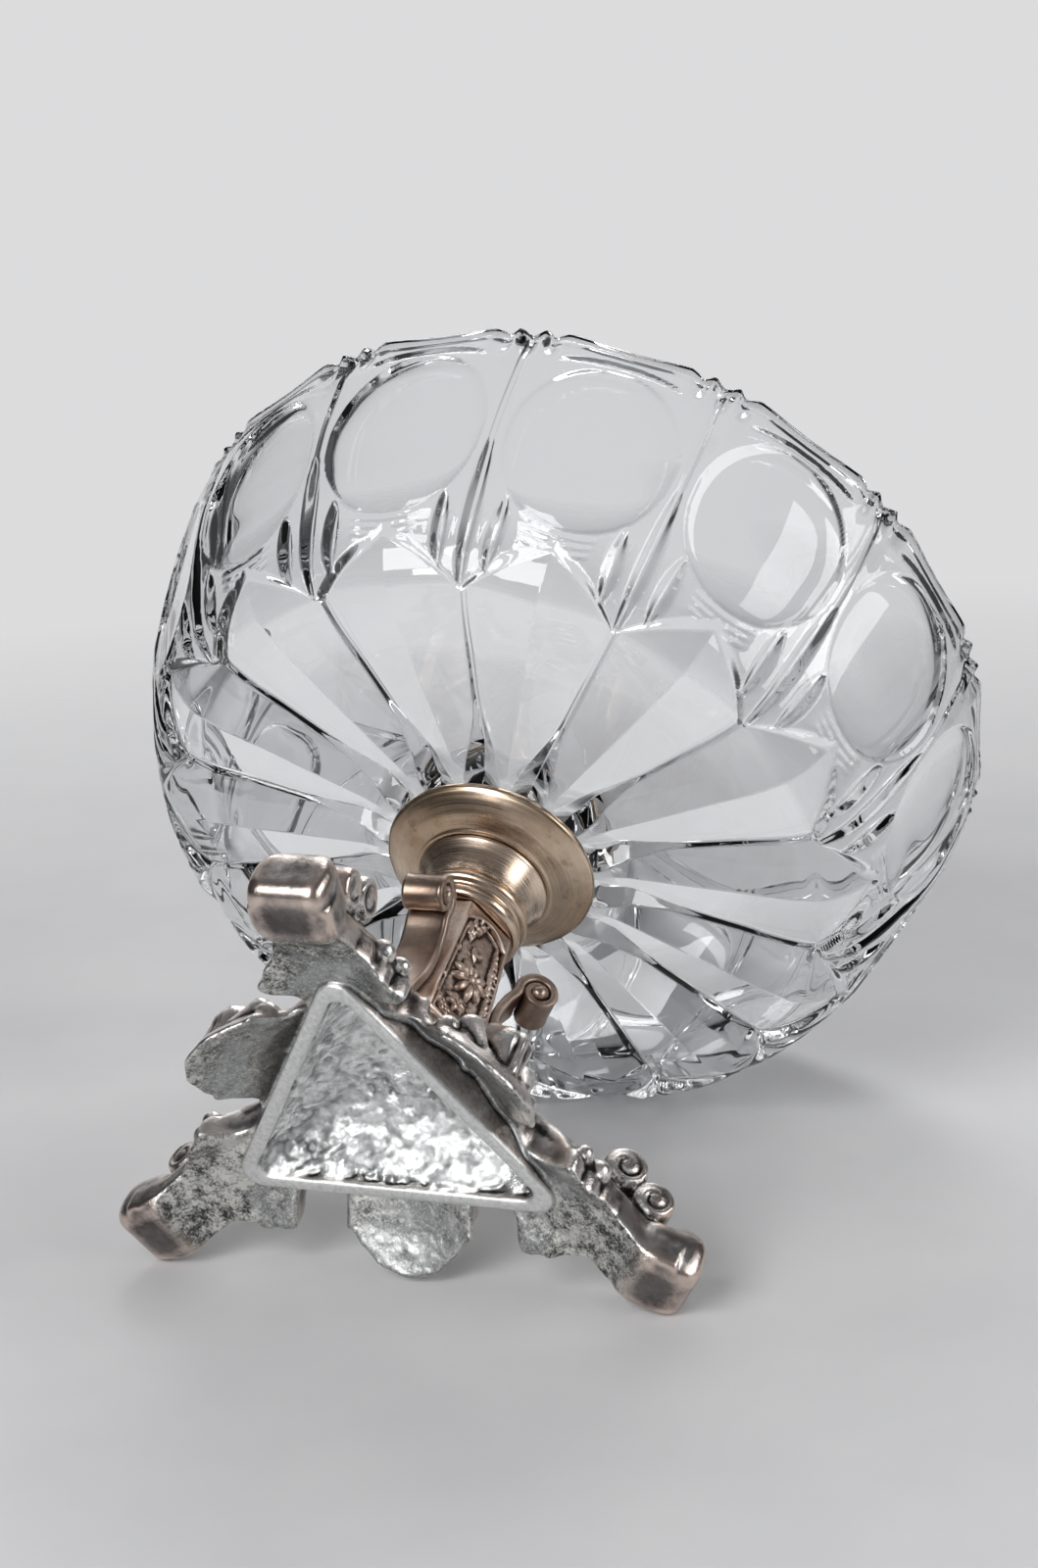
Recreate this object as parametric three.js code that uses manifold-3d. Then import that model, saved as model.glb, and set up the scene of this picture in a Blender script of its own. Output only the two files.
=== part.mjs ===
// Footed fruit bowl: a cut-glass bowl on a spun collar, a three-sided stem and a three-legged cast foot.
// Millimetres, +Z up. The origin is on the floor, under the middle of the three feet.
import * as THREE from 'three';
import { mergeVertices } from 'three/addons/utils/BufferGeometryUtils.js';
import Module from 'manifold-3d';

const wasm = await Module();
wasm.setup();

// Driving dimensions

const seatGap = 0.3;                 // clearance between pieces that touch

const rimRadius = 110;
const rimHeight = 172.5;
const rimWidth = 5.2;
const glassSegments = 14;            // ovals round the wall, with a fan of three leaves between two ovals
const fanTurn = 10;                  // angle of the first fan from +X
const floorGlass = 8.5;              // glass thickness over the collar
const turnRadius = 84;               // where the flat bottom turns up into the wall
const wallFoot = 94.8;               // radius of the lower edge of the steep wall
const wallFootRise = 13.5;           // and its height over the collar
const grooveDepth = 2;
const ovalDepth = 2;
const ovalHalfWidth = 19.5;
const ovalHalfHeight = 24;
const leafDepth = 1.3;
const leafHalfWidth = 1.9;
const scallopDepth = 1.3;
const bumpLift = 0.35;               // how far the rim's notches also dip, as a share of their depth

const pegRadius = 8;
const pegLength = 10;
const cementSleeve = 1.6;

const dishRadius = 26.6;
const dishTop = 98.9;
const dishLip = 1.6;
const dishSheet = 1.3;

const hubTop = 29.7;                 // top of the foot casting, where the stem stands
const hubRadius = 20.5;

const neckTop = 91;
const neckBottom = 73.4;
const neckTopRadius = 16.4;
const neckBellRadius = 14.5;
const neckBeadRadius = 14.9;
const neckFootRadius = 12.7;

const panelFaceLow = 17.3;           // axis to the middle of a panel, at the foot of the stem
const panelFaceMid = 12.6;
const panelFaceTop = 10.4;
const cornerFaceLow = 18.4;          // axis to the flat behind a scroll strap
const cornerFaceMid = 14;
const cornerFaceTop = 11.6;
const stemWall = 3;
const stemBottom = hubTop + seatGap;
const panelSink = 0.8;
const panelBorder = 1.6;
const flowerRadius = 5.6;
const flowerPetals = 9;
const flowerHeight = 52;
const flowerRelief = 1.9;

const strapWidth = 10.6;
const strapThickness = 2.2;
const voluteRadius = 6;              // of the rolled end's outside
const voluteReach = 22.6;            // axis of the bowl to the middle of the roll
const voluteHeight = 62.5;

const footRadius = 73.5;               // axis of the bowl to where a foot rests
const footRoll = 6.8;
const footWidth = 20;
const footFlat = 0.25;               // how much of the roll is worn flat
const shoulderWidth = 30;
const waistWidth = 17;

const skirtThickness = 3.2;
const wallApothem = 24.5;              // axis to the outside of the triangular wall's side
const wallWidth = 6;
const wallCorner = 8;
const wallBottom = 9.1;
const hollowTop = 25;
const lobeRadius = 15.5;
const lobeCentre = 29.5;
const notchRadius = 5.8;
const notchOut = 31;
const notchSide = 21.8;
const lobeFlutes = 5;
const legScrollRadius = 4.6;

const legAngles = [-90, 30, 150];
const shellAngles = [-30, 90, 210];
const roundSteps = 36;
const skirtSteps = 60;               // a multiple of six, so that every leg and shell is cut alike

// Small helpers

const radians = (degrees) => (degrees * Math.PI) / 180;
const clamp01 = (x) => Math.min(1, Math.max(0, x));
const smooth = (x) => clamp01(x) ** 2 * (3 - 2 * clamp01(x));
const lerp = (a, b, t) => a + (b - a) * t;

// Straight-line reading of a list of [x, y] pairs
function along(pairs, x) {
  if (x <= pairs[0][0]) return pairs[0][1];
  for (let i = 1; i < pairs.length; i += 1) {
    const [x0, y0] = pairs[i - 1];
    const [x1, y1] = pairs[i];
    if (x <= x1) return lerp(y0, y1, (x - x0) / (x1 - x0));
  }
  return pairs[pairs.length - 1][1];
}

// A point so far out along an angle, so far to its left, at a height
function placed(out, side, height, angle) {
  const turn = radians(angle);
  return [out * Math.cos(turn) - side * Math.sin(turn), out * Math.sin(turn) + side * Math.cos(turn), height];
}

function bufferFrom(points, faces) {
  const geometry = new THREE.BufferGeometry();
  geometry.setAttribute('position', new THREE.Float32BufferAttribute(points.flat(), 3));
  geometry.setIndex(faces.flat());
  return geometry;
}

function solid(geometry) {
  const bare = geometry.clone();
  bare.deleteAttribute('normal');
  bare.deleteAttribute('uv');
  const merged = mergeVertices(bare, 1e-4);
  return new wasm.Manifold(new wasm.Mesh({
    numProp: 3,
    vertProperties: new Float32Array(merged.attributes.position.array),
    triVerts: new Uint32Array(merged.index.array),
  }));
}

function geometryOf(manifold) {
  const mesh = manifold.getMesh();
  const geometry = new THREE.BufferGeometry();
  geometry.setAttribute('position', new THREE.BufferAttribute(new Float32Array(mesh.vertProperties), 3));
  geometry.setIndex(new THREE.BufferAttribute(new Uint32Array(mesh.triVerts), 1));
  return geometry;
}

// A turned piece from a closed profile of [radius, height] pairs
function turned(profile, steps) {
  const points = [...profile, profile[0]].map(([r, z]) => new THREE.Vector2(r, z));
  const geometry = new THREE.LatheGeometry(points, steps);
  geometry.rotateX(Math.PI / 2);
  return geometry;
}

// Rings joined from the first to the last and closed by a middle point at each end.
// Two neighbours may differ in their number of points, if one number divides the other.
function skinned(rings, firstMiddle, lastMiddle) {
  const points = rings.flat();
  const starts = rings.map((ring, i) => rings.slice(0, i).flat().length);
  const pointAt = (i, step, steps) => {
    const count = rings[i].length;
    return starts[i] + (Math.floor((step * count) / steps) % count);
  };
  const faces = [];
  for (let i = 0; i < rings.length - 1; i += 1) {
    const steps = Math.max(rings[i].length, rings[i + 1].length);
    for (let j = 0; j < steps; j += 1) {
      const a = pointAt(i, j, steps);
      const b = pointAt(i, j + 1, steps);
      const c = pointAt(i + 1, j + 1, steps);
      const d = pointAt(i + 1, j, steps);
      if (a !== b) faces.push([a, b, c]);
      if (c !== d) faces.push([a, c, d]);
    }
  }
  const ends = [[0, firstMiddle, 1], [rings.length - 1, lastMiddle, -1]];
  for (const [i, middle, way] of ends) {
    const tip = points.length;
    const count = rings[i].length;
    points.push(middle);
    for (let j = 0; j < count; j += 1) {
      const near = starts[i] + j;
      const far = starts[i] + ((j + 1) % count);
      faces.push(way > 0 ? [tip, far, near] : [tip, near, far]);
    }
  }
  return bufferFrom(points, faces);
}

// A ribbon's outline: a route of [x, y] points, thickened to both sides
function ribbonShape(route, thickness) {
  const left = [];
  const right = [];
  for (let i = 0; i < route.length; i += 1) {
    const [x0, y0] = route[Math.max(0, i - 1)];
    const [x1, y1] = route[Math.min(route.length - 1, i + 1)];
    const length = Math.hypot(x1 - x0, y1 - y0);
    const nx = (-(y1 - y0) / length) * (thickness / 2);
    const ny = ((x1 - x0) / length) * (thickness / 2);
    left.push(new THREE.Vector2(route[i][0] + nx, route[i][1] + ny));
    right.push(new THREE.Vector2(route[i][0] - nx, route[i][1] - ny));
  }
  return new THREE.Shape([...left, ...right.reverse()]);
}

// A side view drawn in [radius, height], made width thick and turned to an angle round the bowl's axis
function sideExtrusion(shape, width, angle) {
  const geometry = new THREE.ExtrudeGeometry(shape, { depth: width, bevelEnabled: false, curveSegments: 6 });
  geometry.translate(0, 0, -width / 2);
  geometry.rotateX(Math.PI / 2);
  geometry.rotateZ(radians(angle));
  return geometry;
}

// A spiral that winds inwards, from an angle over a sweep, as [x, y] points
function spiral(centreX, centreY, radiusFrom, radiusTo, angleFrom, sweep, steps) {
  const route = [];
  for (let i = 0; i <= steps; i += 1) {
    const t = i / steps;
    const angle = radians(angleFrom + sweep * t);
    const radius = lerp(radiusFrom, radiusTo, t);
    route.push([centreX + radius * Math.cos(angle), centreY + radius * Math.sin(angle)]);
  }
  return route;
}

// Glass bowl

const segmentAngle = 360 / glassSegments;
const halfSegment = segmentAngle / 2;
const seatEdge = dishRadius + seatGap;
const seatHeight = dishTop + seatGap;

// Angles of the cut surface's columns from the middle of a fan, as shares of half a segment
const columnShares = [-0.753, -0.507, -0.373, -0.24, -0.133, 0, 0.133, 0.24, 0.373, 0.507, 0.753, 1];
const plainColumns = 42;             // of the uncut inside and underside
const cutAngles = [];
for (let k = 0; k < glassSegments; k += 1) {
  for (const share of columnShares) cutAngles.push(fanTurn + (k * segmentAngle) + (share * halfSegment));
}
const [firstAngle] = cutAngles;

// Outside of the bowl without its cuts, as [radius, height] from the collar to the rim
const wallRise = rimHeight - seatHeight - wallFootRise;
const wallReach = rimRadius - wallFoot;
const outsideCurve = [
  [seatEdge, seatHeight],
  [lerp(seatEdge, turnRadius, 0.6), seatHeight + 0.1],
  [turnRadius - 5, seatHeight + 0.5],
  [turnRadius, seatHeight + 1.6],
  [lerp(turnRadius, wallFoot, 0.56), seatHeight + 6],
  [wallFoot, seatHeight + wallFootRise],
  [wallFoot + wallReach * 0.28, rimHeight - wallRise * 0.84],
  [wallFoot + wallReach * 0.53, rimHeight - wallRise * 0.68],
  [wallFoot + wallReach * 0.78, rimHeight - wallRise * 0.43],
  [wallFoot + wallReach * 0.93, rimHeight - wallRise * 0.18],
  [rimRadius - 0.2, rimHeight - 2.4],
];

// Radius and height of the outside at a way along it from the collar, each as [way, value] pairs
const outsideWays = outsideCurve.map((p, i) => outsideCurve.slice(0, i).reduce((sum, [r, z], j) => {
  const [nextRadius, nextHeight] = outsideCurve[j + 1];
  return sum + Math.hypot(nextRadius - r, nextHeight - z);
}, 0));
const outsideRadii = outsideCurve.map(([r], i) => [outsideWays[i], r]);
const outsideHeights = outsideCurve.map(([, z], i) => [outsideWays[i], z]);
const bottomEnd = outsideWays[3];
const wallStart = outsideWays[5];
const wallEnd = outsideWays[outsideWays.length - 1];

// Angle from the middle line of the nearest fan of leaves, to either side
function fanOffset(angle) {
  const turns = (angle - fanTurn) / segmentAngle;
  return (turns - Math.round(turns)) * segmentAngle;
}

// Inside of the spun dish, and the underside of the glass that lies over it, as [radius, height]
const dishBore = pegRadius + 2 * seatGap + cementSleeve;
const dishStep = neckTopRadius + 0.5;
const dishInside = [
  [dishBore, neckTop + seatGap + dishSheet],
  [dishStep - 0.4, neckTop + seatGap + dishSheet],
  [lerp(dishStep, dishRadius, 0.35), neckTop + 2.1 + dishSheet * 0.9],
  [lerp(dishStep, dishRadius, 0.7), neckTop + 4.1 + dishSheet],
  [dishRadius - dishSheet - 0.2, dishTop - 1.1],
];
const glassUnder = [
  [pegRadius, dishTop - 3.4],
  [dishRadius - dishSheet - 1.2, dishTop - 0.5],
];

function leafCut(way, radius, offset, middle, from, to) {
  if (way <= from || way >= to) return 0;
  const half = leafHalfWidth * Math.sin((Math.PI * (way - from)) / (to - from)) ** 0.6;
  const away = Math.abs(radians(offset - middle) * radius);
  return leafDepth * Math.max(0, 1 - away / half);
}

// How deep the cutting goes at a point of the outside: petals below a pointed arch, ovals and leaves above
function cutDepth(way, radius, angle) {
  const offset = fanOffset(angle);
  const side = Math.abs(offset);
  if (way < lerp(bottomEnd - 1, wallStart, side / halfSegment)) {
    const start = smooth(way / 12);
    const spear = Math.max(0, 1 - side / 6) * (1 - smooth((way - 4) / 16));
    return grooveDepth * (1 - side / halfSegment) * start + spear;
  }
  const above = way - wallStart - ovalHalfHeight - 2;
  const across = radians(halfSegment - side) * radius;
  const inOval = Math.hypot(above / ovalHalfHeight, across / ovalHalfWidth);
  const oval = ovalDepth * Math.max(0, 1 - inOval ** 2);
  const lean = 1.6 + (way - bottomEnd) * 0.13;
  const leaves = Math.max(
    leafCut(way, radius, offset, 0, bottomEnd - 1, wallStart + 22),
    leafCut(way, radius, side, lean, bottomEnd + 3, wallStart + 8),
  );
  return Math.max(oval, leaves);
}

// A pair of small bumps over each fan, and between two pairs a long stretch that is nearly straight
const scallopShares = [
  [0, 1],
  [0.133, 0],
  [0.24, 1],
  [0.373, 0.2],
  [0.507, 0.4],
  [0.753, 0.8],
  [1, 0.95],
];

function scallop(angle) {
  return -scallopDepth * along(scallopShares, Math.abs(fanOffset(angle)) / halfSegment);
}

const onCircle = (r, z, angle) => [r * Math.cos(radians(angle)), r * Math.sin(radians(angle)), z];

function plainRing(radius, height) {
  const ring = [];
  const step = 360 / plainColumns;
  for (let k = 0; k < plainColumns; k += 1) ring.push(onCircle(radius, height, firstAngle + k * step));
  return ring;
}

// Ring of the rim, where the wave of bumps counts by its share
function rimRing(radius, height, wave) {
  return cutAngles.map((angle) => {
    const bump = wave * scallop(angle);
    return onCircle(radius + bump, height + bumpLift * bump, angle);
  });
}

// Ring of the cut outside, moved in by the depth of the cut, square to the surface
function cutRing(way) {
  const reach = 4;
  const radius = along(outsideRadii, way);
  const height = along(outsideHeights, way);
  const out = along(outsideRadii, way + reach) - along(outsideRadii, way - reach);
  const up = along(outsideHeights, way + reach) - along(outsideHeights, way - reach);
  const size = Math.hypot(out, up);
  const wave = smooth((way - wallEnd + 10) / 8);
  return cutAngles.map((angle) => {
    const depth = cutDepth(way, radius, angle) / size;
    const bump = wave * scallop(angle);
    return onCircle(radius - depth * up + bump, height + depth * out + bumpLift * bump, angle);
  });
}

function glassBowl() {
  const pegBottom = glassUnder[0][1] - pegLength;
  const wallShares = [0, 0.1, 0.235, 0.37, 0.52, 0.67, 0.82];
  const stations = [
    0, 8, 19, bottomEnd - 19, bottomEnd - 1, bottomEnd + 5, bottomEnd + 11,
    ...wallShares.map((share) => lerp(wallStart, wallEnd, share)),
  ];
  const inside = rimRadius - rimWidth;
  const floorInside = dishTop + floorGlass;
  const rings = [
    plainRing(pegRadius, pegBottom),
    ...glassUnder.map(([r, z]) => plainRing(r, z)),
    plainRing(dishRadius - dishSheet - 0.5, seatHeight),
    ...stations.map(cutRing),
    rimRing(rimRadius, rimHeight - 1.1, 1),
    rimRing(rimRadius - 0.9, rimHeight, 1),
    rimRing(inside, rimHeight - 0.5, 0.8),
    plainRing(inside - 1.2, rimHeight - wallRise * 0.2),
    plainRing(wallFoot + wallReach * 0.55 - 6.4, rimHeight - wallRise * 0.6),
    plainRing(wallFoot - 5.4, rimHeight - wallRise * 0.9),
    plainRing(turnRadius - 3.5, floorInside + 3.6),
    plainRing(turnRadius - 16, floorInside + 0.6),
  ];
  return skinned(rings, [0, 0, pegBottom], [0, 0, floorInside]);
}

// Plaster that beds the glass in the collar and holds its peg in the neck

function bowlCement() {
  const inner = pegRadius + seatGap;
  const outer = inner + cementSleeve;
  const sleeveEnd = glassUnder[0][1] - pegLength + 1;
  const bedEdge = dishRadius - dishSheet - 1.8;
  const bedRadii = [dishStep - 0.7, lerp(dishStep, dishRadius, 0.35), bedEdge];
  const profile = [
    [inner, sleeveEnd],
    [outer, sleeveEnd],
    [outer, dishInside[0][1] + seatGap],
    ...bedRadii.map((r) => [r, along(dishInside, r) + seatGap + 0.1]),
    [bedEdge, along(glassUnder, bedEdge) - seatGap],
    [inner, along(glassUnder, inner) - seatGap],
  ];
  return turned(profile, roundSteps - 16);
}

// Spun dish that carries the bowl, with a rolled lip

function collarDish() {
  const profile = [
    [dishBore, neckTop + seatGap],
    [dishStep, neckTop + seatGap],
    [dishStep + 0.7, neckTop + 0.9],
    [lerp(dishStep, dishRadius, 0.4), neckTop + 2.1],
    [lerp(dishStep, dishRadius, 0.75), neckTop + 4],
    [dishRadius - 0.5, dishTop - dishLip - 0.8],
    [dishRadius, dishTop - dishLip],
    [dishRadius, dishTop],
    [dishRadius - dishSheet, dishTop],
    ...[...dishInside].reverse(),
  ];
  return turned(profile, roundSteps);
}

// Turned neck between the dish and the stem: a bell, a bead and a foot ring

function neckRing() {
  const bore = dishBore;
  const bell = neckBellRadius;
  const bead = neckBeadRadius;
  const profile = [
    [bore, neckBottom + 3],
    [bore - 3, neckBottom + 3],
    [bore - 3, neckBottom],
    [neckFootRadius, neckBottom],
    [neckFootRadius + 0.4, neckBottom + 1.5],
    [neckFootRadius + 1.2, neckBottom + 2.3],
    [neckFootRadius + 1.2, neckBottom + 3.3],
    [bead - 1.7, neckBottom + 3.9],
    [bead - 1.7, neckBottom + 4.6],
    [bead - 0.4, neckBottom + 5.2],
    [bead, neckBottom + 6.2],
    [bead - 0.4, neckBottom + 7.2],
    [bead - 1.3, neckBottom + 7.9],
    [bell, neckBottom + 9.1],
    [bell + 0.2, neckBottom + 11.4],
    [lerp(bell, neckTopRadius, 0.5), neckTop - 3.2],
    [neckTopRadius, neckTop - 0.8],
    [neckTopRadius, neckTop],
    [bore, neckTop],
  ];
  return turned(profile, roundSteps);
}

// Three-sided stem: panels with a sunk field and a flower, and flats behind the straps

const stemStations = [0, 0.12, 0.4, 0.7, 1];

const stemHeight = (t) => lerp(stemBottom, neckBottom - seatGap, t);

// Axis to a panel's face and to the flat behind a strap, at a share of the stem's height
function stemFaces(t) {
  const bend = 0.4;
  const share = t < bend ? smooth(t / bend) : 1 + (t - bend) / (1 - bend);
  const panel = along([[0, panelFaceLow], [1, panelFaceMid], [2, panelFaceTop]], share);
  const corner = along([[0, cornerFaceLow], [1, cornerFaceMid], [2, cornerFaceTop]], share);
  return [panel, corner];
}

// Half the width of a panel whose neighbours stand at 60 degrees to it
function panelHalf(panel, corner) {
  return (corner - panel * Math.cos(Math.PI / 3)) / Math.sin(Math.PI / 3);
}

function stemRing(height, panel, corner, sink) {
  const half = panelHalf(panel, corner);
  const field = half - panelBorder;
  const slant = 0.5;
  const section = [
    [-half, panel],
    [-field, panel],
    [slant - field, panel - sink],
    [field - slant, panel - sink],
    [field, panel],
    [half, panel],
  ];
  return shellAngles.flatMap((angle) => section.map(([across, out]) => placed(out, across, height, angle)));
}

function stemBody() {
  const bottom = stemBottom;
  const top = neckBottom - seatGap;
  const outer = [];
  const inner = [];
  for (const t of stemStations) {
    const [panel, corner] = stemFaces(t);
    const sunk = t > 0 && t < 1 ? panelSink : 0;
    outer.push(stemRing(stemHeight(t), panel, corner, sunk));
    inner.push(stemRing(lerp(bottom - 1, top + 1, t), panel - stemWall, corner - stemWall, 0));
  }
  const middleOf = (height) => [0, 0, height];
  let body = solid(skinned(outer, middleOf(bottom), middleOf(top)));
  body = body.subtract(solid(skinned(inner, middleOf(bottom - 1), middleOf(top + 1))));
  for (const angle of shellAngles) body = body.add(solid(flower(angle)));
  return geometryOf(body);
}

function flower(angle) {
  const t = (flowerHeight - stemBottom) / (neckBottom - stemBottom);
  const [panel] = stemFaces(t);
  const shape = new THREE.Shape();
  const steps = flowerPetals * 4;
  for (let i = 0; i < steps; i += 1) {
    const turn = (i / steps) * 2 * Math.PI;
    const r = flowerRadius * (0.86 + 0.14 * Math.cos(flowerPetals * turn));
    if (i === 0) shape.moveTo(r, 0);
    else shape.lineTo(r * Math.cos(turn), r * Math.sin(turn));
  }
  shape.closePath();
  const edge = 0.6;
  const geometry = new THREE.ExtrudeGeometry(shape, {
    depth: flowerRelief - edge,
    bevelEnabled: true,
    bevelThickness: edge,
    bevelSize: edge,
    bevelOffset: -edge,
    bevelSegments: 1,
  });
  geometry.translate(0, 0, panel - panelSink - 1);
  geometry.rotateY(Math.PI / 2);
  geometry.rotateZ(radians(angle));
  geometry.translate(0, 0, flowerHeight);
  return geometry;
}

// Scroll strap on a corner of the stem: it rises, leans out and rolls over into a volute

function strapRoute() {
  const seat = stemStations.map((t) => [stemHeight(t), stemFaces(t)[1]]);
  const roll = voluteRadius - strapThickness / 2;
  const rise = [];
  for (const t of [0, 0.08, 0.16, 0.24, 0.32, 0.4, 0.48]) {
    const height = stemHeight(t);
    const slopeRoom = t < 0.3 ? 0.25 : 0.1;
    rise.push([along(seat, height) + seatGap + strapThickness / 2 + slopeRoom, height]);
  }
  const [lastReach, lastHeight] = rise[rise.length - 1];
  const coil = spiral(voluteReach, voluteHeight, roll, roll * 0.22, 196, -430, 26);
  const lean = [lerp(lastReach, coil[0][0], 0.4), lerp(lastHeight, coil[0][1], 0.55)];
  return [...rise, lean, ...coil];
}

function scrollStrap(angle) {
  return sideExtrusion(ribbonShape(strapRoute(), strapThickness), strapWidth, angle);
}

// Foot casting: skirt with three shells, triangular wall and hollow underneath, and three scroll legs

// Upper side of the skirt as [radius, height], over a shell and beside a leg
const shellTop = [
  [hubRadius, hubTop],
  [24, 23],
  [30, 17.4],
  [37, 13.8],
  [42.5, 9.4],
  [lobeCentre + lobeRadius, 5.6],
];
const besideLeg = [
  [hubRadius, hubTop],
  [26.5, 23],
  [36, 17.8],
  [48, 14.6],
  [58, 12],
];

function skirtHeight(radius, shellOffset) {
  const legShare = smooth((shellOffset - 24) / 18);
  return lerp(along(shellTop, radius), along(besideLeg, radius), legShare);
}

function shellOffsetOf(angle) {
  const turns = (angle - shellAngles[1]) / 120;
  return Math.abs(turns - Math.round(turns)) * 120;
}

// Flutes that fan out over a shell
function flute(radius, angle) {
  const offset = shellOffsetOf(angle);
  const share = smooth((radius - lobeCentre) / 4) * (1 - smooth((offset - 22) / 5));
  return 1.1 * share * Math.abs(Math.cos((radians(offset) * 180 * lobeFlutes) / 56));
}

const skirtReach = 54;

// Solid under the skirt's upper side, down to a flat floor, lowered by a drop
function skirtDome(drop, fluted) {
  const radii = [10, hubRadius, 25, 31, 37, 41.5, 46, skirtReach];
  const angles = [];
  const steps = fluted ? skirtSteps : skirtSteps / 2;
  for (let k = 0; k < steps; k += 1) angles.push((k * 360) / steps);
  const ringAt = (radius, height) => angles.map((angle) => {
    const relief = fluted ? flute(radius, angle) : 0;
    const z = height ?? skirtHeight(radius, shellOffsetOf(angle)) + relief - drop;
    return onCircle(radius, z, angle);
  });
  const rings = [ringAt(skirtReach, -drop - 1), ...radii.reverse().map((r) => ringAt(r))];
  return solid(skinned(rings, [0, 0, -drop - 1], [0, 0, hubTop - drop]));
}

// Plan of the skirt: three lobes, a round notch either side of each, and three shoulders
function skirtPlan() {
  const shape = new THREE.Shape();
  shape.absarc(0, 0, 41, 0, 2 * Math.PI, false);
  let plan = solid(new THREE.ExtrudeGeometry(shape, { depth: 60, bevelEnabled: false, curveSegments: 48 }));
  for (const angle of shellAngles) {
    const turn = radians(angle);
    const post = (out, side, radius) => {
      const geometry = new THREE.CylinderGeometry(radius, radius, 60, 24);
      geometry.rotateX(Math.PI / 2);
      geometry.translate(...placed(out, side, 30, angle));
      return solid(geometry);
    };
    const channel = new THREE.BoxGeometry(34, 2 * notchRadius, 60);
    const sideBlock = new THREE.BoxGeometry(34, 2 * (notchSide + notchRadius), 60);
    sideBlock.translate(notchOut + 5.5 + 17, 0, 30);
    sideBlock.rotateZ(turn);
    plan = plan.subtract(solid(sideBlock)).add(post(lobeCentre, 0, lobeRadius));
    for (const side of [-notchSide, notchSide]) {
      const slot = channel.clone();
      slot.translate(notchOut + 17, side, 30);
      slot.rotateZ(turn);
      plan = plan.subtract(post(notchOut, side, notchRadius)).subtract(solid(slot));
    }
  }
  return plan;
}

// Triangle with rounded corners, its sides facing the shells
function triangleShape(apothem, corner) {
  const shape = new THREE.Shape();
  const reach = 2 * (apothem - corner);
  for (const angle of legAngles) {
    const [x, y] = onCircle(reach, 0, angle);
    shape.absarc(x, y, corner, radians(angle - 60), radians(angle + 60), false);
  }
  return shape;
}

function trianglePrism(apothem, corner, bottom, height) {
  const plan = triangleShape(apothem, corner);
  const geometry = new THREE.ExtrudeGeometry(plan, { depth: height, bevelEnabled: false, curveSegments: 5 });
  geometry.translate(0, 0, bottom);
  return solid(geometry);
}

// Hollow inside the wall: a triangular dome that climbs towards the stem
function hollow() {
  const levels = [[0, 1], [0.25, 0.97], [0.55, 0.86], [0.8, 0.66], [1, 0.3]];
  const inner = wallApothem - wallWidth;
  const rings = levels.map(([t, share]) => {
    const points = triangleShape(inner * share, (wallCorner - 2) * share).extractPoints(4).shape;
    const z = lerp(wallBottom - 1, hollowTop, t);
    return points.slice(0, -1).map((p) => [p.x, p.y, z]);
  });
  return solid(skinned(rings, [0, 0, wallBottom - 1], [0, 0, hollowTop + 1]));
}

// Leg from the hub to the waist, as sections along its length
function legBody(angle) {
  const ankle = footRadius - 16;
  const toe = footRadius - 5;
  // Distance from the axis, half the width, upper side, underside
  const sections = [
    [8, 9, hubTop, 24],
    [21, 12, hubTop - 0.6, 22],
    [34, shoulderWidth / 2 - 0.5, 25, 13.4],
    [41, shoulderWidth / 2, 22.4, 11.6],
    [ankle - 7.5, 13, 19, 9.4],
    [ankle, waistWidth / 2, 15.4, 7],
    [toe - 4, footWidth / 2 - 0.6, 9.8, 2.6],
    [toe, footWidth / 2, 7.2, 1.4],
  ];
  const rings = sections.map(([r, w, high, low]) => {
    const outline = [
      [-w, low + 0.6],
      [-w + 1.4, low],
      [w - 1.4, low],
      [w, low + 0.6],
      [w, high - 2.4],
      [w * 0.55, high - 0.4],
      [0, high],
      [-w * 0.55, high - 0.4],
      [-w, high - 2.4],
    ];
    return outline.map(([x, z]) => placed(r, x, z, angle));
  });
  return solid(skinned(rings, placed(8, 0, 27, angle), placed(toe, 0, 4, angle)));
}

// Rolled knuckle at the end of a leg: a thick strap that touches the floor and curls up and back
function footKnuckle(angle) {
  const thick = 4;
  const roll = footRoll - thick / 2;
  const middle = footRadius;
  const route = [
    [middle - 18, 10.4],
    [middle - 12.6, 6.6],
    [middle - 8.4, 3.8],
    ...spiral(middle, footRoll - footFlat, roll, roll, 236, 200, 14),
  ];
  return solid(sideExtrusion(ribbonShape(route, thick), footWidth, angle));
}

// Scroll that lies across the top of a leg
function legScroll(angle) {
  const route = [
    [footRadius - 27, 19.6],
    [footRadius - 20, 20.8],
    ...spiral(footRadius - 12, 21.6, legScrollRadius, 1.2, 120, -430, 16),
  ];
  return solid(sideExtrusion(ribbonShape(route, 2), waistWidth, angle));
}

function footCasting() {
  const under = skirtDome(skirtThickness, false);
  const plan = skirtPlan();
  let casting = skirtDome(0, true).intersect(plan).subtract(under);
  const wall = trianglePrism(wallApothem, wallCorner, wallBottom, 40);
  casting = casting.add(wall.intersect(skirtDome(0.2, false)));
  for (const angle of legAngles) {
    casting = casting.add(legBody(angle)).add(footKnuckle(angle)).add(legScroll(angle));
  }
  casting = casting.subtract(hollow());
  const above = new THREE.BoxGeometry(200, 200, 60);
  above.translate(0, 0, 30);
  return geometryOf(casting.intersect(solid(above)));
}

// Finish of each piece

function finish(color, roughness, metalness) {
  return new THREE.MeshStandardMaterial({ color, roughness, metalness });
}

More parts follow.
